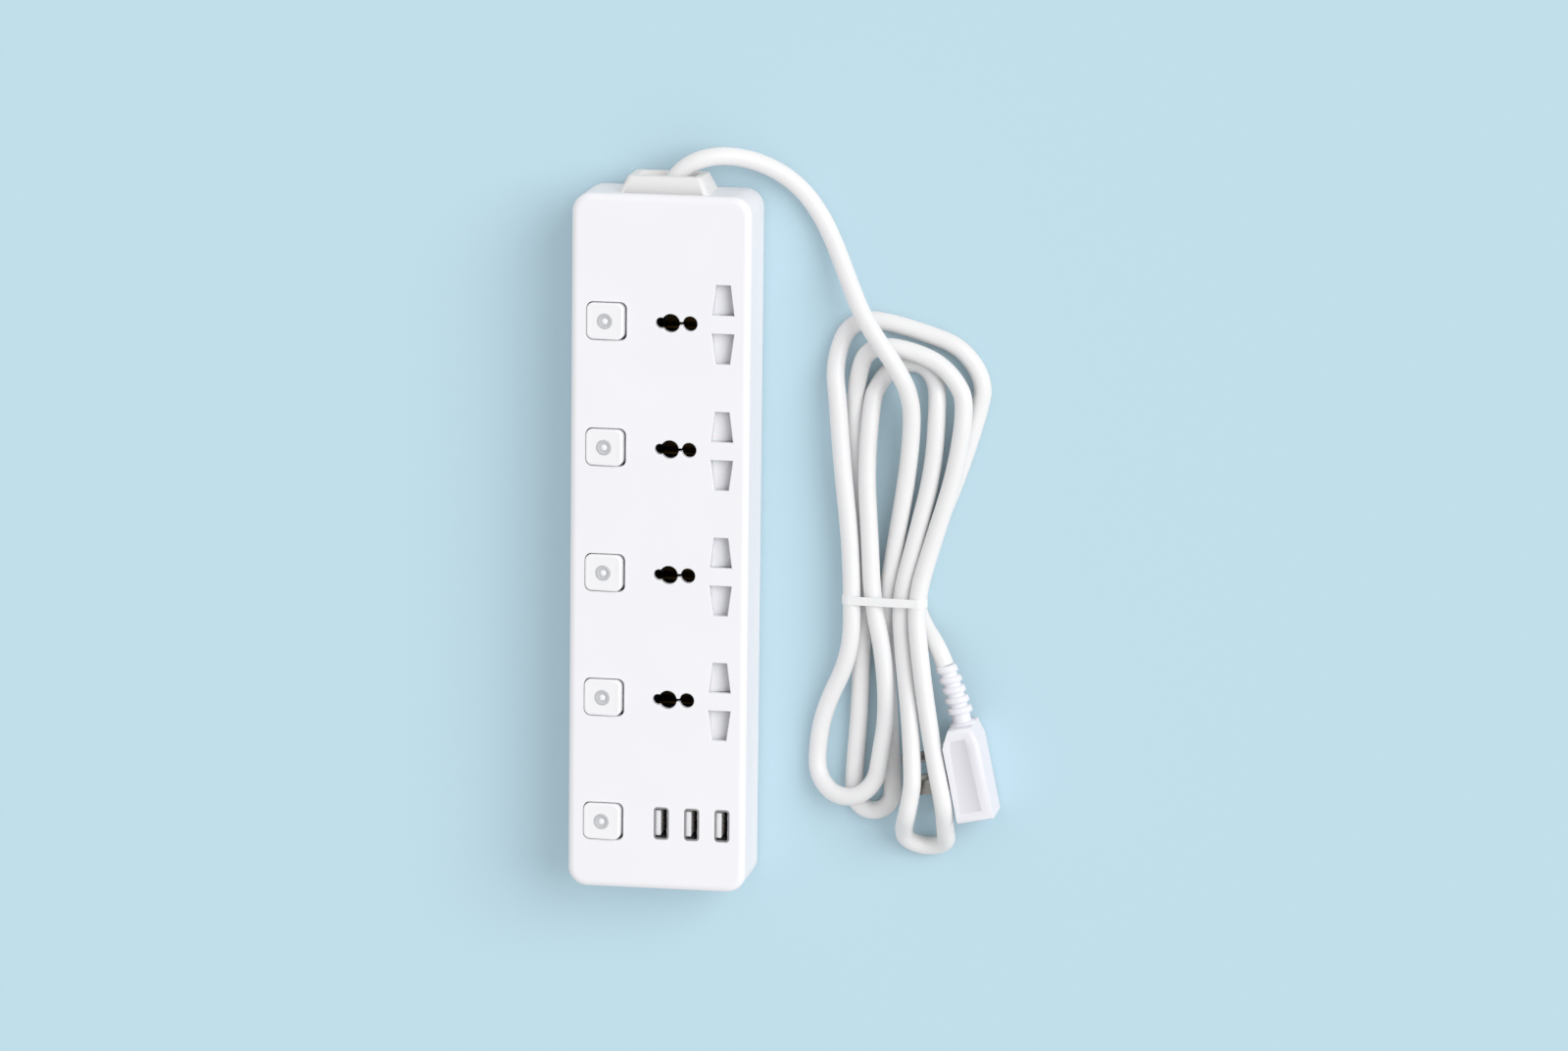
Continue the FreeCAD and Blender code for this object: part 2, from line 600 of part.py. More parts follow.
def rounded_block(z, width, length, height, radius, name="rounded"):
    """A block around the Z axis with round upright corners."""
    parts = [
        block("0", "0", z, width, f"({length}) - 2 * ({radius})", height),
        block("0", "0", z, f"({width}) - 2 * ({radius})", length, height),
    ]
    for side, end in FRONT_LEFT:
        x = f"{side} * (({width}) / 2 - ({radius}))"
        y = f"{end} * (({length}) / 2 - ({radius}))"
        parts.append(rod(x, y, z, radius, height))
    return fuse(parts, name)


def cover_shell(name, low, high, rim_radius, rim_height):
    """The outer block of a cover, with round corners and a round rim."""
    outline = centred_rectangle("body_width", "body_length")
    body, pad = padded(name, "XY_Plane", low, outline, f"({high}) - ({low})")
    corners = round_edges(body, pad, is_upright, "corner_radius", f"{name}_corners")
    doc.recompute()
    rim = value(rim_height)
    rimmed = round_edges(body, corners, lambda edge: lies_at(edge, rim), rim_radius, f"{name}_rim")
    doc.recompute()
    seam = value("part_line")
    round_edges(body, rimmed, lambda edge: lies_at(edge, seam), "seam_round", f"{name}_seam")
    return body


def collar_window():
    """The hole in the end wall that holds the collar's neck."""
    low = ("-collar_neck_width / 2", f"{INNER_END} - {OVERCUT}", "cord_height - collar_neck_height / 2")
    high = ("collar_neck_width / 2", f"{END} + {OVERCUT}", "cord_height + collar_neck_height / 2")
    return span(low, high, "collar_window")


def pin_slot(row, side, bottom, top):
    """One pin slot of a socket, wide towards the row's middle."""
    near = f"{row} + {side} * slot_near"
    far = f"{row} + {side} * slot_far"
    height = f"({top}) - ({bottom})"
    middle = f"(({top}) + ({bottom})) / 2"
    if side > 0:
        return taper(PIN_X, middle, near, far, ("slot_wide", height), ("slot_narrow", height), "pin_slot")
    return taper(PIN_X, middle, far, near, ("slot_narrow", height), ("slot_wide", height), "pin_slot")


def filleted(base, chosen, radius, name):
    """The base with a round along the edges that are chosen."""
    doc.recompute()
    size = value(radius)
    item = doc.addObject("Part::Fillet", name)
    item.Base = base
    item.Edges = [(n, size, size) for n, edge in enumerate(base.Shape.Edges, start=1) if chosen(edge)]
    return item


def is_hole_rim(edge):
    """Whether an edge is a hole's edge in the socket face."""
    centre = edge.BoundBox.Center
    inside_x = value("body_width / 2 - edge_round") - 1e-3
    inside_y = value("body_length / 2 - edge_round") - 1e-3
    return lies_at(edge, value("body_height")) and abs(centre.x) < inside_x and abs(centre.y) < inside_y


def make_top_cover():
    """The upper shell: socket face, holes and windows, screw posts."""
    shell = cover_shell("top_shell", "part_line", "body_height", "edge_round", "body_height")
    hollow = rounded_block(
        f"part_line - {OVERCUT}", "body_width - 2 * wall", "body_length - 2 * wall",
        f"{PLATE_UNDER} - part_line + {OVERCUT}", "corner_radius - wall", "top_hollow")
    below = f"{PLATE_UNDER} - {OVERCUT}"
    depth = f"top_plate + 2 * {OVERCUT}"
    holes = [hollow, collar_window()]
    for row in SWITCH_ROWS:
        window = block(SWITCH_X, row, below, "window_width", "window_length", depth, "switch_window")
        holes.append(filleted(window, is_upright, "window_round", "rounded_window"))
    for row in ROWS:
        holes.append(rod(EARTH_X, row, below, "earth_radius", depth))
        holes.append(rod(f"{EARTH_X} - earth_near", row, below, "earth_near_radius", depth))
        holes.append(rod(f"{EARTH_X} + earth_far", row, below, "earth_far_radius", depth))
        link_length = "earth_far + earth_near"
        link_x = f"({EARTH_X} + (earth_far - earth_near) / 2)"
        holes.append(block(link_x, row, below, link_length, "earth_link", depth))
        for side in (-1, 1):
            holes.append(pin_slot(row, side, below, f"body_height + {OVERCUT}"))
    for x in PORT_XS:
        window = block(x, CHARGER_ROW, below, "port_width", "port_length", depth, "port_window")
        holes.append(filleted(window, is_upright, "port_round", "rounded_port"))
    cover = filleted(cut(shell, holes, "opened_top"), is_hole_rim, "hole_round", "softened_top")
    posts = [rod(x, y, "part_line", "post_radius", f"{PLATE_UNDER} - part_line") for x, y in SCREWS]
    posted = fuse([cover] + posts, "posted_top")
    screw_tip = "(foot_proud + screw_sink + screw_head_height + screw_length)"
    pilots = []
    for x, y in SCREWS:
        pilots.append(rod(x, y, f"part_line - {OVERCUT}", "screw_radius + pivot_play",
                          f"{screw_tip} - part_line + {OVERCUT}"))
    return node("top_cover", cut(posted, pilots, "top_cover"))


def make_back_cover():
    """The lower shell: bottom, screw posts, feet recesses, keyhole hangers, cord saddle."""
    shell = cover_shell("back_shell", "foot_proud", "part_line", "base_round", "foot_proud")
    hollow = rounded_block(
        FLOOR, "body_width - 2 * wall", "body_length - 2 * wall",
        f"part_line - {FLOOR} + {OVERCUT}", "corner_radius - wall", "back_hollow")
    tray = cut(shell, [hollow, collar_window()], "tray")
    stands = [rod(x, y, FLOOR, "post_radius", f"part_line - {FLOOR}") for x, y in SCREWS]
    saddle_top = "cord_height - cord_radius"
    stands.append(block("0", CLAMP_Y, FLOOR, "cord_radius * 2", "clamp_length", f"{saddle_top} - {FLOOR}"))
    for x in CLAMP_XS:
        stands.append(rod(x, CLAMP_Y, FLOOR, "post_radius - 1", f"part_line - {FLOOR}"))
    stands += board_posts()
    for y in BETWEEN_ROWS[:-1]:
        rib_y = f"{y} + post_radius + 1.6"
        stands.append(block(EARTH_RAIL_X, rib_y, FLOOR, "rail_width + 3", "1.6", f"{RAIL_UNDER} - {FLOOR}"))
        stands.append(block(LIVE_X, rib_y, FLOOR, "rail_width + 1", "1.6", f"{RAIL_UNDER} - {FLOOR}"))
        stands.append(block(NEUTRAL_X, rib_y, FLOOR, "neutral_width", "1.6", f"{RAIL_UNDER} - {FLOOR}"))
    filled = fuse([tray] + stands, "back_filled")
    holes = []
    for x, y in SCREWS:
        holes.append(rod(x, y, f"foot_proud - {OVERCUT}", "screw_radius + pivot_play",
                         f"part_line + 2 * {OVERCUT}"))
        holes.append(rod(x, y, f"foot_proud - {OVERCUT}", "screw_head_radius + play",
                         f"{OVERCUT} + screw_sink + screw_head_height"))
    for x in CLAMP_XS:
        holes.append(rod(x, CLAMP_Y, CLAMP_SCREW_TIP, "screw_radius + pivot_play", "clamp_screw_length"))
    for x, y in FEET:
        holes.append(rod(x, y, f"foot_proud - {OVERCUT}", "foot_radius + play",
                         f"foot_height - foot_proud + {OVERCUT}"))
    for y in HANGERS:
        through = f"base_plate + 2 * {OVERCUT}"
        holes.append(rod("0", y, f"foot_proud - {OVERCUT}", "hanger_head", through))
        holes.append(rod("0", f"{y} + hanger_run", f"foot_proud - {OVERCUT}", "hanger_slot", through))
        holes.append(block("0", f"{y} + hanger_run / 2", f"foot_proud - {OVERCUT}",
                           "2 * hanger_slot", "hanger_run", through))
    return node("back_cover", cut(filled, holes, "back_cover"))


CLAMP_TOP = "(cord_height + cord_radius + clamp_cover)"
CLAMP_SCREW_TIP = "(cord_height + cord_radius + clamp_cover - clamp_screw_length)"


def board_posts():
    """Posts that carry the charger's circuit board."""
    posts = []
    height = f"{BOARD_TOP} - board_thick - {FLOOR}"
    for end in (-1, 1):
        y = f"{CHARGER_ROW} + {end} * (board_half - board_post / 2)"
        for x in (f"{BOARD_LEFT} + board_post / 2", f"{BOARD_RIGHT} - board_post / 2"):
            posts.append(block(x, y, FLOOR, "board_post", "board_post", height))
    return posts


def make_case_screws():
    """Self-tapping screws that pull the covers together from below."""
    items = []
    head_z = "foot_proud + screw_sink"
    for x, y in SCREWS:
        head = rod(x, y, head_z, "screw_head_radius", "screw_head_height")
        slit = block(x, y, f"{head_z} - {OVERCUT}", "0.7", "3.6", f"{OVERCUT} + 0.9")
        bar = block(x, y, f"{head_z} - {OVERCUT}", "3.6", "0.7", f"{OVERCUT} + 0.9")
        shank = rod(x, y, f"{head_z} + screw_head_height", "screw_radius", "screw_length")
        items.append(fuse([cut(head, [slit, bar]), shank]))
    return node("case_screws", group(items, "case_screws"))


def make_feet():
    """Rubber feet set into the bottom."""
    items = [rod(x, y, "0", "foot_radius", "foot_height") for x, y in FEET]
    return node("rubber_feet", group(items, "rubber_feet"))


def make_collar():
    """The moulded neck that the cord leaves through, held between the covers."""
    horn = taper(
        "0", "cord_height", END, f"{END} + collar_reach",
        ("collar_base_width", "collar_base_height"), ("collar_tip_width", "collar_tip_height"),
        "collar_horn")
    narrow = "2 * (cord_radius + bore_play)"
    mouth = taper("0", "cord_height", f"{END} + collar_reach - mouth_depth", f"{END} + collar_reach",
                  (narrow, narrow), ("mouth_width", "mouth_height"), "collar_mouth")
    slanted = filleted(horn, lambda edge: edge.BoundBox.YLength > value("collar_reach") - 1e-3,
                       "collar_round", "collar_slanted")
    tip = value(f"{END} + collar_reach") - 1e-3
    outside = filleted(cut(slanted, [mouth]), lambda edge: edge.BoundBox.YMin > tip,
                       "collar_rim_round", "collar_outside")
    neck = block("0", f"({END} + {INNER_END}) / 2", "cord_height - collar_neck_height / 2 + play",
                 "collar_neck_width - 2 * play", f"{END} - {INNER_END}", "collar_neck_height - 2 * play")
    flange = block("0", f"{INNER_END} - collar_flange / 2",
                   "cord_height - collar_neck_height / 2 - collar_lip",
                   "collar_neck_width + 2 * collar_lip", "collar_flange",
                   "collar_neck_height + 2 * collar_lip")
    sleeve_end = f"{INNER_END} - collar_flange - collar_sleeve"
    sleeve = cone("0", sleeve_end, "cord_height", "collar_sleeve_tip", "collar_sleeve_radius",
                  "collar_sleeve", "y", "collar_sleeve")
    solid = fuse([outside, neck, flange, sleeve], "collar_solid")
    bore = rod("0", f"{sleeve_end} - {OVERCUT}", "cord_height", "cord_radius + bore_play",
               f"{END} + collar_reach - ({sleeve_end}) + 2 * {OVERCUT}", "y")
    return node("cord_collar", cut(solid, [bore, mouth], "cord_collar"))


def make_clamp():
    """The bridge that grips the cord's sheath, and its two screws."""
    bridge = block("0", CLAMP_Y, "part_line", "clamp_width", "clamp_length", f"{CLAMP_TOP} - part_line")
    start = f"{CLAMP_Y} - clamp_length / 2 - {OVERCUT}"
    length = f"clamp_length + 2 * {OVERCUT}"
    tunnel = rod("0", start, "cord_height", "cord_radius + pivot_play", length, "y")
    slot = block("0", CLAMP_Y, f"part_line - {OVERCUT}", "2 * (cord_radius + pivot_play)", length,
                 f"cord_height - part_line + {OVERCUT}")
    bolts = []
    holes = [tunnel, slot]
    for x in CLAMP_XS:
        holes.append(rod(x, CLAMP_Y, CLAMP_SCREW_TIP, "screw_radius + pivot_play",
                         f"clamp_screw_length + {OVERCUT}"))
        shank = rod(x, CLAMP_Y, CLAMP_SCREW_TIP, "screw_radius", "clamp_screw_length")
        head = rod(x, CLAMP_Y, CLAMP_TOP, "clamp_head_radius", "clamp_head_height")
        bolts.append(fuse([shank, head]))
    node("cord_clamp", cut(bridge, holes, "cord_clamp"))
    node("clamp_screws", group(bolts, "clamp_screws"))


def make_rocker(number, row):
    """A rocker with pivot pins and a plunger, leaning at rest, and its indicator lens."""
    top = "pivot_drop + rocker_proud"
    body, pad = padded(
        f"rocker_cap_{number}", "XY_Plane", "-rocker_skirt",
        centred_rectangle("rocker_width", "rocker_length"), f"{top} + rocker_skirt")
    corners = round_edges(body, pad, is_upright, "rocker_round", f"rocker_corners_{number}")
    doc.recompute()
    rim = value(top)
    round_edges(body, corners, lambda edge: lies_at(edge, rim), "rocker_edge", f"rocker_rim_{number}")
    reach = "rocker_length / 2 + side_play + pivot_reach"
    pins = rod("0", f"-({reach})", "0", "pivot_radius", f"2 * ({reach})", "y")
    plunger = block("0", "0", "-plunger_drop", "plunger_width", "plunger_length", "plunger_drop")
    solid = fuse([body, pins, plunger], f"rocker_solid_{number}")
    seat = rod("0", "0", f"{top} - lens_depth", "lens_radius + lens_play", f"lens_depth + {OVERCUT}")
    rocker = cut(solid, [seat], f"rocker_{number}")
    disc = rod("0", "0", f"{top} - lens_depth", "lens_radius", "lens_depth + lens_proud")
    dimple = rod("0", "0", f"{top} + lens_proud - dimple_depth", "dimple_radius",
                 f"dimple_depth + {OVERCUT}")
    lens = cut(disc, [dimple], f"indicator_lens_{number}")
    for item in (rocker, lens):
        item.Placement = FreeCAD.Placement(Vector(), FreeCAD.Rotation(Vector(0, -1, 0), 1))
        place(item, SWITCH_X, row, PIVOT)
        item.setExpression("Placement.Rotation.Angle", formula("rocker_tilt"))
    node(f"rocker_{number}", rocker)
    node(f"indicator_lens_{number}", lens)


def make_switch_case(number, row):
    """The open box under a switch window, with the rocker's bearings in its walls."""
    inner_length = "rocker_length + 2 * side_play"
    width = "window_width + 2 * case_wall"
    length = f"{inner_length} + 2 * case_wall"
    bottom = f"{PLATE_UNDER} - case_depth"
    outer = block(SWITCH_X, row, bottom, width, length, "case_depth", f"case_outer_{number}")
    room = block(SWITCH_X, row, f"{bottom} + case_floor", "window_width", inner_length,
                 f"case_depth - case_floor + {OVERCUT}")
    bearing = rod(SWITCH_X, f"{row} - ({length}) / 2 - {OVERCUT}", PIVOT, "pivot_radius + pivot_play",
                  f"{length} + 2 * {OVERCUT}", "y")
    slots = []
    for side in (-1, 1):
        slots.append(block(f"{SWITCH_X} + {side} * terminal_x", row, f"{bottom} - {OVERCUT}",
                           "terminal_thick", "terminal_width", f"case_floor + 2 * {OVERCUT}"))
    return node(f"switch_case_{number}", cut(outer, [room, bearing] + slots, f"switch_case_{number}"))


def make_terminals():
    """Brass blades that come out of the bottoms of the switch cases."""
    blades = []
    blade_top = f"({PLATE_UNDER} - case_depth + case_floor + terminal_rise)"
    for row in SWITCH_ROWS:
        for side in (-1, 1):
            blades.append(block(f"{SWITCH_X} + {side} * terminal_x", row, "carrier_bottom",
                                "terminal_thick", "terminal_width", f"{blade_top} - carrier_bottom"))
    return node("switch_terminals", group(blades, "switch_terminals"))


def clip_leaves_along_y(row, side):
    """The two upright leaves of a pin clip and the foot that joins them."""
    near = f"({row} + {side} * clip_near)"
    far = f"({row} + {side} * clip_far)"
    low_y, high_y = (near, far) if side > 0 else (far, near)
    parts = []
    for edge in (-1, 1):
        inner = f"{PIN_X} + {edge} * clip_gap / 2"
        outer = f"{PIN_X} + {edge} * (clip_gap / 2 + rail_thick)"
        low_x, high_x = (inner, outer) if edge > 0 else (outer, inner)
        parts.append(span((low_x, low_y, RAIL_UNDER), (high_x, high_y, "clip_top")))
    foot = f"clip_gap / 2 + rail_thick + clip_margin + clip_lap"
    parts.append(span((f"{PIN_X} - ({foot})", low_y, RAIL_UNDER),
                      (f"{PIN_X} + clip_gap / 2 + rail_thick", high_y, "carrier_bottom")))
    return parts


def make_rails():
    """The neutral and earth rails with a clip for each socket, and the live rail of the switches."""
    neutral = [span((f"{NEUTRAL_X} - neutral_width / 2", NEUTRAL_END, RAIL_UNDER),
                    (f"{NEUTRAL_X} + neutral_width / 2", RAIL_START, "carrier_bottom"), "neutral_strip")]
    earth = [span((f"{EARTH_RAIL_X} - rail_width / 2", NEUTRAL_END, RAIL_UNDER),
                  (f"{EARTH_RAIL_X} + rail_width / 2", RAIL_START, "carrier_bottom"), "earth_strip")]
    live = span((f"{LIVE_X} - rail_width / 2", f"{CHARGER_ROW} - terminal_width / 2", RAIL_UNDER),
                (f"{LIVE_X} + rail_width / 2", RAIL_START, "carrier_bottom"), "live_strip")
    for row in ROWS:
        neutral += clip_leaves_along_y(row, -1)
        tab_y = f"{row} - (clip_near + clip_far) / 2"
        neutral.append(span((PIN_X, f"{tab_y} - 2", RAIL_UNDER),
                            (NEUTRAL_X, f"{tab_y} + 2", "carrier_bottom")))
        for side in (-1, 1):
            inner = f"{row} + {side} * earth_clip_gap / 2"
            outer = f"{row} + {side} * (earth_clip_gap / 2 + rail_thick)"
            low_y, high_y = (inner, outer) if side > 0 else (outer, inner)
            earth.append(span((EARTH_CLIP_LEFT, low_y, RAIL_UNDER), (EARTH_CLIP_RIGHT, high_y, "clip_top")))
        reach = "earth_clip_gap / 2 + rail_thick"
        earth.append(span((EARTH_CLIP_LEFT, f"{row} - ({reach})", RAIL_UNDER),
                          (EARTH_CLIP_RIGHT, f"{row} + {reach}", "carrier_bottom")))
    node("neutral_rail", fuse(neutral, "neutral_rail"))
    node("earth_rail", fuse(earth, "earth_rail"))
    node("live_rail", live)


def make_live_contacts():
    """For each socket, the switched live clip and the strap that brings it current."""
    items = []
    top = "strap_height + rail_thick"
    for row in ROWS:
        parts = clip_leaves_along_y(row, 1)
        strap_y = f"({row} + (clip_near + clip_far) / 2)"
        low_y = f"{strap_y} - strap_width / 2"
        high_y = f"{strap_y} + strap_width / 2"
        blade = f"{SWITCH_X} - terminal_x"
        left = f"{blade} - strap_width / 2"
        near_y = f"{row} - strap_width / 2"
        parts.append(span((left, low_y, "strap_height"), (PIN_X, high_y, top)))
        parts.append(span((left, near_y, "strap_height"), (f"{left} + strap_width", high_y, top)))
        parts.append(span((f"{blade} - rail_thick / 2", near_y, "strap_height"),
                          (f"{blade} + rail_thick / 2", f"{row} + strap_width / 2", "carrier_bottom")))
        parts.append(span((f"{PIN_X} - rail_thick", low_y, "strap_height"),
                          (PIN_X, high_y, "carrier_bottom")))
        items.append(fuse(parts, "live_contact"))
    return node("live_contacts", group(items, "live_contacts"))


def make_carrier(number, row):
    """The moulded block that holds one socket's clips, with pillars up to the socket face."""
    block_low = (CARRIER_LEFT, f"{row} - carrier_half", "carrier_bottom")
    block_high = (CARRIER_RIGHT, f"{row} + carrier_half", CARRIER_TOP)
    parts = [span(block_low, block_high, f"carrier_block_{number}")]
    pillars = ((CARRIER_LEFT, f"{CARRIER_LEFT} + pillar"), (f"{CARRIER_RIGHT} - pillar", CARRIER_RIGHT))
    for end in (-1, 1):
        inner = f"{row} + {end} * (carrier_half - pillar)"
        outer = f"{row} + {end} * carrier_half"
        low_y, high_y = (inner, outer) if end > 0 else (outer, inner)
        for low_x, high_x in pillars:
            parts.append(span((low_x, low_y, CARRIER_TOP), (high_x, high_y, PLATE_UNDER)))
    parts.append(span((f"{SPRING_POST_X} - spring_post", f"{row} - spring_post_length / 2", CARRIER_TOP),
                      (SPRING_POST_X, f"{row} + spring_post_length / 2", f"{PLATE_UNDER} - slide_play")))
    room = []
    low_z = f"carrier_bottom - {OVERCUT}"
    high_z = f"{CARRIER_TOP} + {OVERCUT}"
    clip_half = "(clip_gap / 2 + rail_thick + clip_margin)"
    for side in (-1, 1):
        near = f"{row} + {side} * (clip_near - clip_margin)"
        far = f"{row} + {side} * (clip_far + clip_margin)"
        low_y, high_y = (near, far) if side > 0 else (far, near)
        room.append(span((f"{PIN_X} - {clip_half}", low_y, low_z),
                         (f"{PIN_X} + {clip_half}", high_y, high_z)))
    earth_half = "(earth_clip_gap / 2 + rail_thick + clip_margin)"
    room.append(span((f"{EARTH_CLIP_LEFT} - clip_margin", f"{row} - {earth_half}", low_z),
                     (f"{EARTH_CLIP_RIGHT} + clip_margin / 2", f"{row} + {earth_half}", high_z)))
    return node(f"socket_carrier_{number}", cut(fuse(parts), room, f"socket_carrier_{number}"))


def make_shutter(number, row):
    """The sliding shutter of one socket: two ramped arms joined by a bar, and its spring."""
    bottom = f"({CARRIER_TOP} + slide_play)"
    high = f"{bottom} + shutter_thick"
    low = f"{bottom} + shutter_low"
    bar_left = f"{SHUTTER_RIGHT} - shutter_bar"
    profile = [
        (SHUTTER_LEFT, bottom), (SHUTTER_RIGHT, bottom), (SHUTTER_RIGHT, low), (bar_left, low),
        (f"{SHUTTER_LEFT} + shutter_rim", high), (SHUTTER_LEFT, high),
    ]
    arms = f"shutter_arms_{number}"
    body, pad = padded(arms, "XZ_Plane", f"-({row})", profile, f"2 * {SHUTTER_HALF}", True)
    gap = block(f"({SHUTTER_LEFT} + {bar_left}) / 2 - {OVERCUT}", row, f"{bottom} - {OVERCUT}",
                f"{bar_left} - {SHUTTER_LEFT} + 2 * {OVERCUT}", "shutter_gap",
                f"shutter_thick + 2 * {OVERCUT}")
    lug = block(f"{SHUTTER_RIGHT} - shutter_bar / 2", row, bottom, "shutter_bar", "spring_post_length",
                "shutter_thick")
    solid = fuse([cut(body, [gap]), lug], f"shutter_solid_{number}")
    node(f"shutter_{number}", solid)
    make_spring(number, row, f"{bottom} + shutter_thick / 2")


def make_spring(number, row, height):
    """The coil spring between the carrier's post and the shutter's bar."""
    length = f"({SHUTTER_RIGHT} - shutter_bar - {SPRING_POST_X} - 2 * spring_wire - 2 * pivot_play)"
    start = f"{SPRING_POST_X} + spring_wire + pivot_play"
    coil = doc.addObject("Part::Helix", f"coil_{number}")
    bind(coil, Radius="spring_radius", Height=length, Pitch=f"{length} / spring_turns")
    coil.SegmentLength = 1
    ring = doc.addObject("Part::Circle", f"wire_{number}")
    bind(ring, Radius="spring_wire")
    ring.Placement = FreeCAD.Placement(Vector(), FreeCAD.Rotation(Vector(1, 0, 0), 90))
    ring.setExpression("Placement.Base.x", formula("spring_radius"))
    spring = doc.addObject("Part::Sweep", f"spring_{number}")
    spring.Sections = [ring]
    spring.Spine = (coil, [])
    spring.Solid = True
    spring.Frenet = True
    spring.Placement = FreeCAD.Placement(Vector(), TURNS["x"])
    place(spring, start, row, height)
    return node(f"shutter_spring_{number}", spring)


def make_charger():
    """Charging ports on their circuit board, with the parts under it."""
    shells = []
    tongues = []
    width = "(port_width - 2 * port_play)"
    length = "(port_length - 2 * port_play)"
    for x in PORT_XS:
        sheet = block(x, CHARGER_ROW, BOARD_TOP, width, length, "port_depth", "port_outer")
        outer = filleted(sheet, is_upright, "port_round - port_play", "port_drawn")
        room = block(x, CHARGER_ROW, f"{BOARD_TOP} + port_wall", f"{width} - 2 * port_wall",
                     f"{length} - 2 * port_wall", "port_depth")
        shells.append(cut(outer, [room]))
        tongue_x = f"{x} - {width} / 2 + port_wall + tongue_thick / 2"
        tongues.append(block(tongue_x, CHARGER_ROW, f"{BOARD_TOP} + port_wall", "tongue_thick",
                             f"{length} - 2 * tongue_inset", "port_depth - port_wall - tongue_sink"))
    node("port_shells", group(shells, "port_shells"))
    node("port_tongues", group(tongues, "port_tongues"))
    board_under = f"({BOARD_TOP} - board_thick)"
    node("charger_board", span((BOARD_LEFT, f"{CHARGER_ROW} - board_half", board_under),
                               (BOARD_RIGHT, f"{CHARGER_ROW} + board_half", BOARD_TOP), "charger_board"))
    node("charger_transformer", block(f"{PORT_X} + coil_shift", CHARGER_ROW, f"{board_under} - coil_height",
                                      "coil_width", "coil_length", "coil_height", "charger_transformer"))
    cans = []
    for side in (-1, 1):
        cans.append(rod(f"{PORT_X} + cap_shift", f"{CHARGER_ROW} + {side} * cap_step / 2",
                        f"{board_under} - cap_height", "cap_radius", "cap_height"))
    node("charger_capacitors", group(cans, "charger_capacitors"))


def make_inner_cord():
    """The sheathed end of the cord inside the case, and its three cores."""
    start = SUPPLY_ROUTE[0][1]
    sheath = rod("0", CORD_END, "cord_height", "cord_radius", f"{start} - {CORD_END}", "y",
                 "cord_inner_end")
    node("cord_inner_end", sheath)
    cores = (("live_core", LIVE_CORE), ("neutral_core", NEUTRAL_CORE), ("earth_core", EARTH_CORE))
    for name, route in cores:
        node(name, own_shape(name, tube(placed(route), CORE_RADIUS)))
    wires = [tube(placed(route), CHARGER_WIRE_RADIUS) for route in (CHARGER_LIVE, CHARGER_NEUTRAL)]
    node("charger_wires", own_shape("charger_wires", Part.makeCompound(wires)))


def along_plug(distance):
    """Formula for a place on the plug, measured from the cord's entry towards its far end."""
    return f"-({distance})"


def on_plug(item):
    """Put an object that is built around the plug's own axes where the plug lies."""
    item.Placement = FreeCAD.Placement(Vector(), FreeCAD.Rotation(Vector(0, 0, 1), 1))
    place(item, "plug_x", "plug_y", "plug_bottom")
    item.setExpression("Placement.Rotation.Angle", formula("plug_lean"))
    return item


def plug_pins():
    """The two blades and the earth pin, in the plug's own frame."""
    middle = "plug_height / 2"
    earth_y = along_plug("relief_length + earth_pin_inset")
    blade_y = along_plug("relief_length + earth_pin_inset + pin_spread")
    root = "-plug_face + pin_root"
    blades = []
    for side in (-1, 1):
        z = f"{middle} + {side} * blade_gap / 2 - blade_thick / 2"
        blades.append(span(("-plug_face - blade_reach", f"{blade_y} - blade_width / 2", z),
                           (root, f"{blade_y} + blade_width / 2", f"{z} + blade_thick")))
    earth = rod("-plug_face - earth_pin_reach", earth_y, middle, "earth_pin_radius",
                "earth_pin_reach + pin_root", "x")
    return blades, earth


def make_plug():
    """The moulded plug: body, ribbed relief, pin bridge and pins."""
    middle = "plug_height / 2"
    start = along_plug("relief_length")
    shoulder = along_plug("relief_length + plug_shoulder")
    far = along_plug("relief_length + plug_length")
    outline = [
        ("-plug_throat", start), ("-plug_face", shoulder), ("-plug_face", far),
        ("plug_back", far), ("plug_back", shoulder), ("plug_throat", start),
    ]
    body, pad = padded("plug_block", "XY_Plane", "0", outline, "plug_height")
    doc.recompute()
    back = value("plug_back")
    far_y = value(far)

    def shows(edge):
        box = edge.BoundBox
        flat = lies_at(edge, 0) or lies_at(edge, value("plug_height"))
        wide = -value("plug_throat") < box.XMax <= back + 1e-6
        return flat and wide and box.YMin > far_y - 1e-6
    round_edges(body, pad, shows, "plug_round", "plug_edges")
    blades, earth = plug_pins()
    bridge_low = ("-plug_face", along_plug("relief_length + bridge_start + bridge_length"),
                  f"{middle} - bridge_height / 2")
    bridge_high = ("-plug_face + bridge_thick", along_plug("relief_length + bridge_start"),
                   f"{middle} + bridge_height / 2")
    bridge = span(bridge_low, bridge_high, "bridge_block")
    node("plug_body", on_plug(cut(body, [bridge, earth] + blades, "plug_body")))
    node("plug_bridge", on_plug(cut(bridge, [earth] + blades, "plug_bridge")))
    node("plug_blades", on_plug(group(blades, "plug_blades")))
    node("plug_earth_pin", on_plug(group([earth], "plug_earth_pin")))
    relief = cone("0", start, middle, "relief_base", "relief_tip", "relief_length", "y", "relief_cone")
    grooves = []
    for n in range(int(value("relief_ribs"))):
        centre = f"({start} + relief_length * ({n} + 1) / (relief_ribs + 1))"
        ring = rod("0", f"{centre} - relief_groove / 2", middle, "relief_base + 1", "relief_groove", "y")
        core = rod("0", f"{centre} - relief_groove / 2 - 1", middle, "relief_core",
                   "relief_groove + 2", "y")
        grooves.append(cut(ring, [core]))
    node("plug_relief", on_plug(cut(relief, grooves, "plug_relief")))


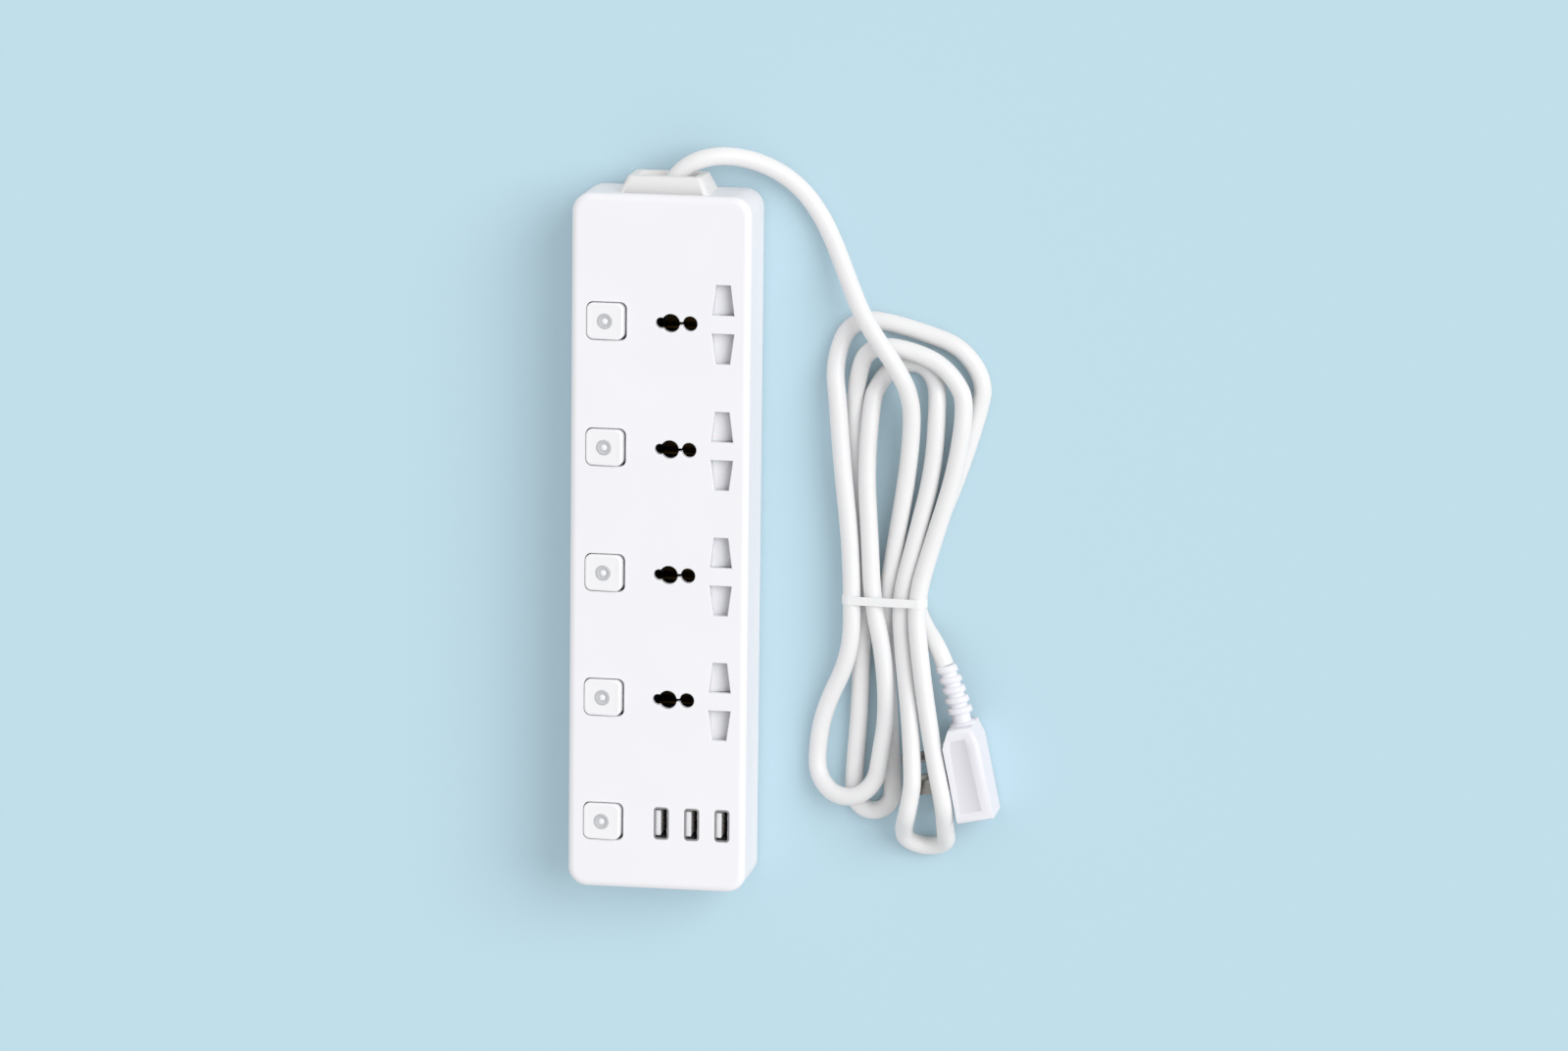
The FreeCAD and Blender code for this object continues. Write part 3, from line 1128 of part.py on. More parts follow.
def make_tie():
    """The band that holds the folded cord together."""
    width = "tie_right - tie_left"
    middle = "(tie_right + tie_left) / 2"
    outer = block(middle, "tie_y", "tie_bottom", width, "tie_width", "tie_height", "tie_outer")
    inner = block(middle, "tie_y", "tie_bottom + tie_thick", f"{width} - 2 * tie_thick",
                  f"tie_width + 2 * {OVERCUT}", "tie_height - 2 * tie_thick", "tie_inner")
    return node("cord_tie", cut(outer, [inner], "cord_tie"))


def make_cord(tie):
    """The free cord: two tubes, and the outer shape of the folded part between them."""
    doc.recompute()
    radius = value("cord_radius")
    supply = tube(SUPPLY_ROUTE, radius)
    lean = FreeCAD.Placement(
        Vector(value("plug_x"), value("plug_y"), 0), FreeCAD.Rotation(Vector(0, 0, 1), value("plug_lean")))
    plug_middle = value("plug_bottom + plug_height / 2")
    plug_end = [lean.multVec(Vector(0, ahead, plug_middle)) for ahead in (TAIL_STRAIGHT, 0)]
    tail = tube(TAIL_ROUTE + [tuple(point) for point in plug_end], radius)
    outline, _ = bend_route([(x, y, HANK_BOTTOM) for x, y in HANK_OUTLINE], closed=True)
    hank = Part.Face(outline).extrude(Vector(0, 0, HANK_TOP - HANK_BOTTOM))
    room_top = value("plug_bottom + plug_height / 2 + blade_gap / 2 + blade_thick / 2") + PIN_ROOM
    upper, _ = bend_route([(x, y, room_top) for x, y in BRIDGE_OUTLINE], closed=True)
    over_pins = Part.Face(upper).extrude(Vector(0, 0, BRIDGE_TOP - room_top))
    pins_far = value("relief_length + earth_pin_inset + pin_spread + blade_width / 2") + 3 * PIN_ROOM
    pins_near = value("relief_length + earth_pin_inset - earth_pin_radius") - 3 * PIN_ROOM
    pins_left = value("plug_face + earth_pin_reach") + PIN_ROOM
    under_pins = Part.makeBox(
        pins_left + 20, pins_far - pins_near, room_top + 1, Vector(-pins_left, -pins_far, -1))
    under_pins.Placement = lean
    plug_room = Part.makeBox(
        value("plug_face + plug_back") + 2 * PLUG_ROOM, value("plug_length") + 2 * PLUG_ROOM, 60,
        Vector(-value("plug_face") - PLUG_ROOM, -value("relief_length + plug_length") - PLUG_ROOM, -1))
    plug_room.Placement = lean
    relief_room = Part.makeCylinder(
        value("relief_base") + PLUG_ROOM, value("relief_length"),
        Vector(0, -value("relief_length"), value("plug_bottom + plug_height / 2")), Vector(0, 1, 0))
    relief_room.Placement = lean
    tie_box = tie.Shape.BoundBox
    tie_room = Part.makeBox(200, tie_box.YLength, 60, Vector(tie_box.Center.x - 100, tie_box.YMin, -1))
    tie_inside = Part.makeBox(
        tie_box.XLength - 2 * value("tie_thick"), tie_box.YLength, tie_box.ZLength - 2 * value("tie_thick"),
        Vector(tie_box.XMin + value("tie_thick"), tie_box.YMin, tie_box.ZMin + value("tie_thick")))
    hank = hank.cut([under_pins, tie_room.cut(tie_inside), supply, tail, relief_room])
    hank = hank.fuse(over_pins).cut(plug_room).removeSplitter()
    node("supply_cord", own_shape("supply_cord", supply))
    node("cord_hank", own_shape("cord_hank", hank))
    node("cord_tail", own_shape("cord_tail", tail))


def build():
    """Make every sub-part of the strip."""
    fill_sheet()
    make_top_cover()
    make_back_cover()
    make_case_screws()
    make_feet()
    make_collar()
    make_clamp()
    for number, row in enumerate(SWITCH_ROWS, start=1):
        make_rocker(number, row)
        make_switch_case(number, row)
    make_terminals()
    make_rails()
    make_live_contacts()
    for number, row in enumerate(ROWS, start=1):
        make_carrier(number, row)
        make_shutter(number, row)
    make_charger()
    make_inner_cord()
    make_plug()
    tie = make_tie()
    make_cord(tie)
    doc.recompute()


def check():
    """Stop if any object failed, or any sub-part has no sound shape."""
    failed = [item.Name for item in doc.Objects if {"Invalid", "Error"} & set(item.State)]
    if failed:
        raise RuntimeError(f"objects that failed: {failed}")
    for name, item in NODES:
        if item.Label != name:
            raise RuntimeError(f"{name} is labelled {item.Label}")
        if item.Shape.isNull() or not item.Shape.isValid() or not item.Shape.Solids:
            raise RuntimeError(f"{name} has no sound shape")


def export():
    """Write one STEP file for each sub-part."""
    os.makedirs("parts", exist_ok=True)
    for name, item in NODES:
        item.Shape.exportStep(f"parts/{name}.step")
        print(f"{name}: {len(item.Shape.Solids)} solids, {item.Shape.Volume:.0f} mm3")
    print(len(NODES), "sub-parts")


build()
check()
export()
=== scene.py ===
# %% [markdown]
# # A white extension strip, its folded cord and its plug
#
# The strip lies face up: a shallow two-part case of moulded plastic with a column of
# rocker switches, four universal sockets, three charging ports, and a supply cord that
# is still folded into the hank it was sold with.  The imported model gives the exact
# place of every part, so each step here adds what the eye needs: soft rims, real
# sheet metal, ribs, and the finish of each surface.

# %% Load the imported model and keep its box
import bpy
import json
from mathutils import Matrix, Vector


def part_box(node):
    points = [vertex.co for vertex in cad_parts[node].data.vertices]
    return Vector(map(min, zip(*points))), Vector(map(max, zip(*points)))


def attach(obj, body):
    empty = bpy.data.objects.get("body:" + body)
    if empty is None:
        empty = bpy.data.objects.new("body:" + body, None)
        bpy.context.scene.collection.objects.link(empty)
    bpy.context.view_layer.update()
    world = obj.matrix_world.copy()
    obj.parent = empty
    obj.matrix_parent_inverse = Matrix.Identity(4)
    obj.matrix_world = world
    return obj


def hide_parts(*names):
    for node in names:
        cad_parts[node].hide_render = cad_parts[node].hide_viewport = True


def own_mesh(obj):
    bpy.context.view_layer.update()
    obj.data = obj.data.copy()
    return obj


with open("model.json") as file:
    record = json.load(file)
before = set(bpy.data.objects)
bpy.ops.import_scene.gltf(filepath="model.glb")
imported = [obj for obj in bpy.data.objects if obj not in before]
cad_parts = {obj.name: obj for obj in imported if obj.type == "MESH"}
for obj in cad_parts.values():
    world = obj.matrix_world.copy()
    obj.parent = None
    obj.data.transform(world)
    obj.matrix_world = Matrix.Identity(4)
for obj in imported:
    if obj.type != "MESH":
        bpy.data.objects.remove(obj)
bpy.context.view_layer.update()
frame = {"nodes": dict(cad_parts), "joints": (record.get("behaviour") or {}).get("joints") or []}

import bpy
import bmesh
import json
import math
from mathutils import Matrix, Vector

MM = 0.001
scene = bpy.context.scene
nodes = frame["nodes"]

# %% [markdown]
# ## The places everything else is measured from
#
# A part's box says where it is.  Reading the places from the boxes keeps the new
# pieces on the model even when one of its sizes changes.

# %% Read the face's height and the joints, and number the parts that repeat
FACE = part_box("top_cover")[1].z
SWITCHES = range(1, 6)
SOCKETS = range(1, 5)
joint_of = {joint["child"]: joint for joint in frame["joints"]}
print(f"the face is {FACE / MM:.1f} mm up, with {len(SWITCHES)} switches, {len(SOCKETS)} sockets")

# %% [markdown]
# ## Camera
#
# The strip is seen almost straight from above by a long lens, a little from the
# cord's end and from the pin slots' side, so its right wall and its end wall show as
# thin bands.  A camera far away with a long lens keeps the rows evenly spaced, where
# a near one would make the middle of the strip look larger than its ends.

# %% Place the camera
LOOK_AT = Vector((53.3 * MM, 10.8 * MM, FACE))
FROM_ABOVE = Vector((0.16, 0.185, 1)).normalized()
CAMERA_DISTANCE = 3.0
FRAME_WIDTH = 0.6556
ROLL = math.radians(0.65)

backward = FROM_ABOVE
level_up = (Vector((0, 1, 0)) - backward * backward.y).normalized()
level_right = level_up.cross(backward)
camera_up = level_up * math.cos(ROLL) - level_right * math.sin(ROLL)
camera_right = camera_up.cross(backward)
camera_data = bpy.data.cameras.new("product_camera")
camera_data.sensor_width = 36
camera_data.lens = camera_data.sensor_width * CAMERA_DISTANCE / FRAME_WIDTH
camera_data.clip_end = 20
camera = bpy.data.objects.new("product_camera", camera_data)
axes = Matrix((camera_right, camera_up, backward)).transposed().to_4x4()
camera.matrix_world = Matrix.Translation(LOOK_AT + backward * CAMERA_DISTANCE) @ axes
scene.collection.objects.link(camera)
scene.camera = camera
scene.view_settings.view_transform = "Standard"
print(f"lens {camera_data.lens:.1f} mm")

# %% [markdown]
# ## Studio
#
# The strip lies on pale blue paper in an even, soft light.  An area lamp would light
# the near end of the long case more than the far end, so a sun is used, which is as
# bright everywhere, with a disc wide enough to blur its shadows.  It comes from the
# right, because the right-hand walls are the brighter ones.  An even world fills the
# shadows.  The sun's strength is divided by its slope, and then the two shares add up
# to one on flat ground, so a colour renders about as it is written.
# The paper is pale blue to the lens and in reflections, but it throws back neutral
# light, because a blue bounce would stain the white walls.

# %% Colours and shader nodes, each through one small function
def linear(hex_colour):
    """A colour written as sRGB hex, as the linear numbers that shaders use."""
    parts = [int(hex_colour[start:start + 2], 16) / 255 for start in (1, 3, 5)]
    bright = [part / 12.92 if part <= 0.04045 else ((part + 0.055) / 1.055) ** 2.4 for part in parts]
    return (*bright, 1)


def add(tree, kind, inputs=None, **settings):
    """Add a node, set it up, and give its inputs numbers, colours or other nodes' outputs."""
    node = tree.nodes.new(kind)
    for name, setting in settings.items():
        setattr(node, name, setting)
    for socket, source in (inputs or {}).items():
        if isinstance(source, bpy.types.NodeSocket):
            tree.links.new(source, node.inputs[socket])
        else:
            node.inputs[socket].default_value = source
    return node


print("pure white in linear light:", linear("#FFFFFF"))

# %% Light the strip softly from the right
GROUND_BLUE = linear("#C1DEEB")
SUN_SHARE = 0.31
SUN_FROM = Vector((1, 0.45, 1)).normalized()

sun_data = bpy.data.lights.new("window_light", "SUN")
sun_data.energy = SUN_SHARE * math.pi / SUN_FROM.z
sun_data.angle = math.radians(45)
sun = bpy.data.objects.new("window_light", sun_data)
sun.matrix_world = SUN_FROM.to_track_quat("Z", "Y").to_matrix().to_4x4()
scene.collection.objects.link(sun)

world = bpy.data.worlds.new("even_room")
world.use_nodes = True
world.node_tree.nodes.clear()
seen = add(world.node_tree, "ShaderNodeLightPath")
room_light = add(world.node_tree, "ShaderNodeBackground",
                 {"Color": (1, 1, 1, 1), "Strength": 1 - SUN_SHARE})
backdrop = add(world.node_tree, "ShaderNodeBackground", {"Color": GROUND_BLUE, "Strength": 1})
room = add(world.node_tree, "ShaderNodeMixShader",
           {0: seen.outputs["Is Camera Ray"], 1: room_light.outputs[0], 2: backdrop.outputs[0]})
add(world.node_tree, "ShaderNodeOutputWorld", {"Surface": room.outputs[0]})
scene.world = world
print(f"sun {SUN_SHARE:.0%}, even room {1 - SUN_SHARE:.0%}")

# %% Lay the ground
GROUND_SIZE = 12
ground_mesh = bpy.data.meshes.new("ground")
bm = bmesh.new()
bmesh.ops.create_grid(bm, x_segments=1, y_segments=1, size=GROUND_SIZE / 2)
bm.to_mesh(ground_mesh)
bm.free()
ground = bpy.data.objects.new("ground", ground_mesh)
scene.collection.objects.link(ground)

paper = bpy.data.materials.new("blue_background_paper")
paper.use_nodes = True
tree = paper.node_tree
tree.nodes.clear()
seen = add(tree, "ShaderNodeLightPath")
shows = add(tree, "ShaderNodeMath", {0: seen.outputs["Is Camera Ray"],
                                     1: seen.outputs["Is Glossy Ray"]}, operation="MAXIMUM")
shows = add(tree, "ShaderNodeMath", {0: shows.outputs[0],
                                     1: seen.outputs["Is Transmission Ray"]}, operation="MAXIMUM")
tint = add(tree, "ShaderNodeMix", {"Factor": shows.outputs[0], "A": linear("#E6E6E6"),
                                   "B": GROUND_BLUE}, data_type="RGBA")
sheet = add(tree, "ShaderNodeBsdfDiffuse", {"Color": tint.outputs["Result"]})
add(tree, "ShaderNodeOutputMaterial", {"Surface": sheet.outputs[0]})
ground_mesh.materials.append(paper)
print("ground", GROUND_SIZE, "m wide")

# %% [markdown]
# ## The supply cord
#
# The cord is a round three-core flex with a white PVC sheath.  It leaves the collar,
# arcs over to the side, and is folded up and down into a flat hank that a tie holds
# at its waist.  A mesh tube would need rings laid along the path; a NURBS curve with
# a round bevel bends as smoothly as the flex does and needs only the points that its
# line is hung on, so it is the better tool here.

# %% List the points that the cord's line is hung on, in millimetres
SUPPLY_ROUTE = [
    (0, 144, 18), (0, 147.2, 18), (1.4, 151.4, 18), (4.8, 156, 17.7), (10, 159.9, 17),
    (16.8, 162.3, 15.6), (25, 162.7, 13), (35, 160.6, 9.6), (45.5, 155.6, 6.2),
    (54.4, 148.4, 4.3), (61.8, 139, 4.3), (68, 128, 6.2), (73, 117, 9.2), (77.6, 107, 12.6),
    (82.4, 97.6, 15.8), (88, 89.5, 18.4), (93.5, 82, 19), (98.5, 74, 17.6), (102, 66, 15),
    (103.6, 55, 12),
]
# The places along Y where the strands of the hank have their points.
STATIONS = (61, 32, 2, -24, -48, -73, -98)
# Each strand as its X and Z at those places.
FIRST_DOWN = ((101.8, 10), (96.8, 6.6), (92.6, 4.7), (92.2, 3.9), (94, 3.9), (95.8, 3.9))
FIRST_UP = ((79.8, 3.9), (81.6, 3.9), (82, 3.9), (83.6, 4.6), (82.1, 4), (79, 3.9), (77.8, 3.9))
SECOND_DOWN = ((126, 11.4), (122.2, 12), (113, 11.8), (105.8, 13.6), (109, 17.2), (113.2, 20.8),
               (118.4, 24))
SECOND_UP = ((107.6, 24.4), (105.4, 19), (101, 10.8), (98.8, 9.9), (105.2, 9.2), (112.4, 9.5),
             (113.8, 9.5))
THIRD_DOWN = ((85.6, 7.6), (83.8, 10.4), (86, 11.4), (87.4, 11.9), (92.8, 11.8), (94.6, 11.8))
THIRD_UP = ((66.6, 6.4), (78.6, 11.3), (79, 11.9), (77.6, 11.2), (74, 11.4), (71.4, 10.4))
LAST_DOWN = ((131.8, 4.5), (123.2, 4), (111.4, 3.9), (104.8, 4.7))
# The folds at either end, which carry one strand over into the next.
FOLD_1 = [(96.2, -104.6, 3.9), (96.2, -111.5, 3.9), (91.3, -116.4, 3.9), (84.5, -116.4, 3.9),
          (79.6, -111.5, 3.9), (79.6, -104.6, 3.9)]
FOLD_2 = [(80, 73, 6.6), (83, 81, 9), (91, 84.5, 11), (103, 82.5, 11), (114, 78, 10.5),
          (122, 70, 11)]
FOLD_3 = [(119.6, -103, 24.2), (121, -110.5, 24.2), (120.8, -117, 18.8), (120.4, -122.2, 13.8),
          (120.5, -126.5, 9.3), (117.9, -129.4, 5.8), (113.6, -130.8, 3.9), (108.9, -130.6, 3.9),
          (105, -129, 5.6), (102.4, -126.1, 8.7), (102.4, -122.1, 12.7), (103.6, -118.2, 18.6),
          (105.2, -113.4, 24.2), (106.8, -105, 24.2)]
FOLD_4 = [(112.4, 69, 5.4), (107.4, 75.6, 3.9), (99.5, 77, 3.9), (92, 73, 3.9), (87.4, 66, 5)]
FOLD_5 = [(91.8, -91, 11.8), (90.2, -102, 11.8), (82.6, -109.4, 12.1), (72, -109.4, 10.5),
          (64.3, -102, 5.4), (63.6, -91, 4)]
FOLD_6 = [(69.8, 72, 8.4), (71, 82, 5.6), (74.4, 90.4, 4.3), (82.4, 94.4, 3.9), (92, 93.4, 3.9),
          (108.4, 89, 3.9), (120.8, 84.6, 3.9), (128.6, 76.6, 4), (132.2, 68.4, 4.3)]
TAIL_ROUTE = [(106.6, -30.6, 4.9), (109.9, -36.4, 6.8), (113.5, -40.6, 9.8), (116.7, -45, 12.4),
              (119.05, -50.52, 12.7)]


def strand(places, stations):
    """The points of one strand of the hank, from the first of its stations on."""
    return [(x, y, z) for (x, z), y in zip(places, stations)]


UPWARD = STATIONS[::-1]
cord_points = (SUPPLY_ROUTE
               + strand(FIRST_DOWN, STATIONS[1:]) + FOLD_1 + strand(FIRST_UP, UPWARD) + FOLD_2
               + strand(SECOND_DOWN, STATIONS) + FOLD_3 + strand(SECOND_UP, UPWARD) + FOLD_4
               + strand(THIRD_DOWN, STATIONS) + FOLD_5 + strand(THIRD_UP, UPWARD[1:]) + FOLD_6
               + strand(LAST_DOWN, STATIONS) + TAIL_ROUTE)
print(len(cord_points), "points")

# %% Draw the cord as one NURBS curve with a round bevel
CORD_RADIUS = 3.8 * MM


def nurbs_curve(name, points, radius):
    """A round NURBS curve hung on points that are given in millimetres."""
    data = bpy.data.curves.new(name, "CURVE")
    data.dimensions = "3D"
    spline = data.splines.new("NURBS")
    spline.points.add(len(points) - 1)
    for spot, (x, y, z) in zip(spline.points, points):
        spot.co = (x * MM, y * MM, z * MM, 1)
        spot.radius = radius
    spline.order_u = 3
    spline.use_endpoint_u = True
    spline.resolution_u = 8
    data.bevel_depth = 1
    data.bevel_resolution = 6
    data.use_fill_caps = True
    item = bpy.data.objects.new(name, data)
    scene.collection.objects.link(item)
    return item


def line_of(curve):
    """The points along a curve's middle line, read from the curve itself."""
    bare = curve.copy()
    bare.data = curve.data.copy()
    bare.data.bevel_depth = 0
    mesh = bpy.data.meshes.new_from_object(bare)
    line = [vertex.co.copy() for vertex in mesh.vertices]
    bpy.data.objects.remove(bare)
    return line


cord = nurbs_curve("supply_cord_flex", cord_points, CORD_RADIUS)
cord_line = line_of(cord)
# %% [markdown]
# ## Finishes
#
# Nearly all of the strip is injection-moulded plastic, so what separates the pieces is
# small: how glossy the tool was, how fine its texture, and a slightly warmer or cooler
# white.  One flat white would look like paint.  Each finish therefore gets two close
# shades in broad drifts and a fine grain in relief.  The grain of a spark-eroded tool
# is about 0.1 mm, far too fine to show from here, so every grain is drawn coarser.

# %% The steps that the finishes share, with sizes in millimetres
finish = {}


def started(slot, name):
    """Start the finish of a slot: its empty node tree, and the place of a spot on the piece."""
    material = bpy.data.materials.new(name)
    material.use_nodes = True
    tree = material.node_tree
    tree.nodes.clear()
    finish[slot] = material
    return tree, add(tree, "ShaderNodeTexCoord").outputs["Object"]


def noise(tree, spot, size, detail, **more):
    """Soft blots of a size."""
    return add(tree, "ShaderNodeTexNoise", {"Vector": spot, "Scale": 1 / (size * MM),
                                            "Detail": detail, **more}).outputs[0]


def wave(tree, spot, period, direction="X"):
    """Even bands with a period; a wave node of scale one repeats after pi / 10."""
    return add(tree, "ShaderNodeTexWave", {"Vector": spot, "Scale": math.pi / (10 * period * MM)},
               bands_direction=direction).outputs["Fac"]


def mixed(tree, factor, first, second):
    """A colour between two, as far along as a factor says."""
    return add(tree, "ShaderNodeMix", {"Factor": factor, "A": linear(first),
                                       "B": linear(second)}, data_type="RGBA").outputs["Result"]


def varied(tree, factor, middle, reach):
    """A number that strays as far as a reach to either side of its middle."""
    return add(tree, "ShaderNodeMapRange", {"Value": factor, "To Min": middle - reach,
                                            "To Max": middle + reach}).outputs[0]


def relief(tree, height, depth, **more):
    """Bumps of a depth."""
    return add(tree, "ShaderNodeBump", {"Height": height, "Distance": depth * MM,
                                        **more}).outputs[0]


def closed(tree, inputs):
    """Close a finish with its surface."""
    surface = add(tree, "ShaderNodeBsdfPrincipled", inputs)
    add(tree, "ShaderNodeOutputMaterial", {"Surface": surface.outputs[0]})


print("an even mid grey is", round(linear("#808080")[0], 3), "in linear light")

# %% The plastics outside: case, rockers, collar, shutters, plug
DRIFT = 40


def moulded(slot, name, colour, shade, roughness, grain, depth, **more):
    """Moulded plastic: two shades in broad drifts, and a grain of a size and a depth."""
    tree, spot = started(slot, name)
    tone = mixed(tree, noise(tree, spot, DRIFT, 2), shade, colour)
    grains = noise(tree, spot, grain, 3, Roughness=0.6)
    closed(tree, {"Base Color": tone, "Roughness": varied(tree, grains, roughness, 0.06),
                  "Normal": relief(tree, grains, depth), "IOR": 1.5, **more})


# ABS from a finely spark-eroded tool: an even satin white, a touch cool.
moulded("case_white", "satin_abs_case", "#F8F8FC", "#F3F3F7", 0.36, 0.9, 0.006)
# ABS from a polished tool: the rockers shine more than the case around them.
moulded("rocker_white", "polished_abs_rocker", "#FBFBFD", "#F6F6F9", 0.22, 3.0, 0.006)
# Soft PVC of the collar: warmer, matt, with a coarse grain that hides scuffs.
moulded("collar_plastic", "grained_pvc_collar", "#EEEDED", "#E6E5E4", 0.55, 0.8, 0.02)
# Urea moulding of the switch cases: what shows in the gap round each rocker.
moulded("switch_plastic", "urea_switch_case", "#F2F2F2", "#EAEAEB", 0.5, 0.9, 0.01)
# Acetal of the shutters: smooth and slightly waxy, so light sinks in a little.
moulded("shutter_white", "waxy_acetal_shutter", "#EFEFF2", "#E6E6EA", 0.34, 1.5, 0.004,
        **{"Subsurface Weight": 0.08, "Subsurface Scale": 1 * MM})
# Soft PVC moulded over the plug: fine matt grain, the same cool white as the case.
moulded("plug_white", "matt_pvc_plug", "#F0F0F6", "#E9E9F0", 0.5, 0.8, 0.014)
# The plug's grip panel comes from a rougher part of the same tool; its greyer colour is painted
# shade of the sunk panel.
moulded("grip_panel_painted_shade", "rough_pvc_panel_painted_shade", "#E4E4EA", "#DCDCE2", 0.7, 0.8, 0.02)
# Hard nylon that carries the pins: a greyer white with a dull sheen.
moulded("plug_bridge", "nylon_pin_bridge", "#DDDDDA", "#D3D3CF", 0.42, 1.2, 0.008)
# Thin soft vinyl band: it glows a little at its edges.
moulded("tie_white", "soft_vinyl_tie", "#F8F8F8", "#F1F1F2", 0.4, 1.0, 0.01,
        **{"Subsurface Weight": 0.15, "Subsurface Scale": 1 * MM})
print(len(finish), "outer plastics")

# %% The plastics inside, and the rubber feet
# Glass-filled nylon of the contact carriers, near-black as painted shade: the socket holes look
# black over it.
moulded("carrier_plastic", "nylon_carrier_painted_shade", "#141416", "#0E0E10", 0.6, 0.9, 0.03)
# Pale liquid-crystal polymer of the ports' tongues.
moulded("port_tongue", "pale_lcp_tongue", "#F2F2F4", "#E8E8EB", 0.45, 0.7, 0.008)
# Taped ferrite core of the transformer.
moulded("coil_dark", "taped_ferrite_core", "#2A2723", "#1E1C1A", 0.5, 2.0, 0.02)
# Vulcanised rubber: nearly black, dull, with a dusty bloom.
moulded("foot_rubber", "matt_rubber_foot", "#3B3B3D", "#2F2F31", 0.8, 0.7, 0.04)
# PVC insulation of the cores.
moulded("core_brown", "pvc_core_brown", "#6B4226", "#5E3820", 0.4, 0.9, 0.006)
moulded("core_blue", "pvc_core_blue", "#2C66B4", "#2559A2", 0.4, 0.9, 0.006)
print(len(finish), "plastics and rubber")

# %% The sheath of the cord
# Extruded PVC: smooth, with a soft shine, and finely grained.  The cores twisted inside
# it show as a very faint swell.
tree, spot = started("cord_white", "extruded_pvc_sheath")
tone = mixed(tree, noise(tree, spot, 30, 2), "#EBEBEC", "#F4F4F4")
swell = relief(tree, noise(tree, spot, 9, 1), 0.25)
grained = relief(tree, noise(tree, spot, 0.8, 2), 0.008, Normal=swell)
closed(tree, {"Base Color": tone, "Roughness": 0.4, "IOR": 1.53, "Normal": grained,
              "Subsurface Weight": 0.05, "Subsurface Scale": 1 * MM})
print("cord's sheath finished")

# %% The green and yellow earth core, and the frosted lens
# Earth insulation is green with a yellow stripe, which comes round every 12 mm here.
tree, spot = started("core_green", "striped_pvc_core")
stripe = add(tree, "ShaderNodeMath", {0: wave(tree, spot, 12), 1: 0.6}, operation="GREATER_THAN")
closed(tree, {"Base Color": mixed(tree, stripe.outputs[0], "#2F8A3C", "#E6CC2E"),
              "Roughness": 0.4})

# Polycarbonate with a frosted back: grey and half clear over the white rocker.
tree, spot = started("lens_clear", "frosted_polycarbonate_lens")
frost = noise(tree, spot, 0.9, 2)
closed(tree, {"Base Color": mixed(tree, frost, "#DADBE0", "#E6E7EA"), "Roughness": 0.16,
              "IOR": 1.58, "Transmission Weight": 0.25, "Normal": relief(tree, frost, 0.01)})
print(len(finish), "finishes without the metals")

# %% [markdown]
# ## Metals
#
# The metal parts are small and half hidden, but they are what makes the ports, pins and
# screws read as real.  Plated sheet is bright with faint drawing lines, so a stretched
# noise changes its roughness along one direction; a metal keeps the default IOR, and
# its colour is the colour of its reflection.

# %% Plated and drawn metal
LINE_WIDTH = 0.6
LINE_DEPTH = 0.003


def drawn_metal(slot, name, colour, dull, roughness, stretch):
    """Metal with drawing lines: a noise that is stretched along an axis."""
    tree, spot = started(slot, name)
    along = add(tree, "ShaderNodeMapping", {"Vector": spot, "Scale": stretch}).outputs[0]
    lines = noise(tree, along, LINE_WIDTH, 3)
    closed(tree, {"Base Color": mixed(tree, lines, dull, colour), "Metallic": 1,
                  "Roughness": varied(tree, lines, roughness, 0.08),
                  "Normal": relief(tree, lines, LINE_DEPTH)})


# Zinc plate on the screws: bluish grey and a little cloudy.
drawn_metal("screw_steel", "zinc_plated_screw", "#BFC3C8", "#A9ADB3", 0.34, (1, 1, 1))
# Hard-drawn spring wire.
drawn_metal("spring_steel", "drawn_spring_wire", "#9DA0A5", "#85888D", 0.3, (0.2, 1, 1))
# Bright nickel over the deep-drawn shells of the ports.
drawn_metal("port_steel", "nickel_plated_shell", "#D2D2D4", "#BDBDC0", 0.24, (1, 1, 0.15))
# Nickel on the plug's brass pins: grey and warm, rubbed along the pin by use.
drawn_metal("pin_plated", "nickel_plated_pin", "#A8A6A1", "#93918C", 0.24, (0.15, 1, 1))
# Drawn aluminium can of the capacitors.
drawn_metal("can_aluminium", "drawn_aluminium_can", "#D0D2D5", "#BEC0C3", 0.34, (1, 1, 0.2))
# Punched brass strip, darkened as painted shade: down in the sockets it reads almost black.
drawn_metal("brass", "brass_strip_painted_shade", "#5E4A28", "#46361C", 0.42, (1, 0.1, 1))
# Gold over the contacts of the ports' tongues.
drawn_metal("contact_gold", "gold_plated_contact", "#E3B860", "#D2A348", 0.22, (1, 1, 0.2))
print(len(finish), "finishes with the metals")

# %% The charger's circuit board
# FR-4 is woven glass under a green solder mask.  Its 0.5 mm weave is drawn at 1 mm.
WEAVE = 1
tree, spot = started("board_green", "solder_masked_fr4")
weave = add(tree, "ShaderNodeMath", {0: wave(tree, spot, WEAVE), 1: wave(tree, spot, WEAVE, "Y")},
            operation="MULTIPLY").outputs[0]
closed(tree, {"Base Color": mixed(tree, weave, "#1D5A37", "#26704A"), "Roughness": 0.32,
              "Normal": relief(tree, weave, 0.02)})
print("the board's weave repeats every", WEAVE, "mm")

# %% Give every part that stays as packed the finish of its slot
# The material that a part was packed with carries the name of its slot.
for part in nodes.values():
    for place in part.material_slots:
        place.material = finish[place.material.name.split(".")[0]]
print(len(nodes), "parts finished with", len(finish), "materials")

# %% [markdown]
# ## From a mesh to a finished piece
#
# Every new piece ends in the same way: doubles merged, faces turned outwards, smooth
# shading that still breaks at real edges, then the body it rides on, its finish, and
# the parts it stands for.  One function does that, so each cell below is only about a
# shape.  Round shapes are spun from a profile, and blocky ones start as a block.

# %% Finish a piece
WELD = 0.001 * MM


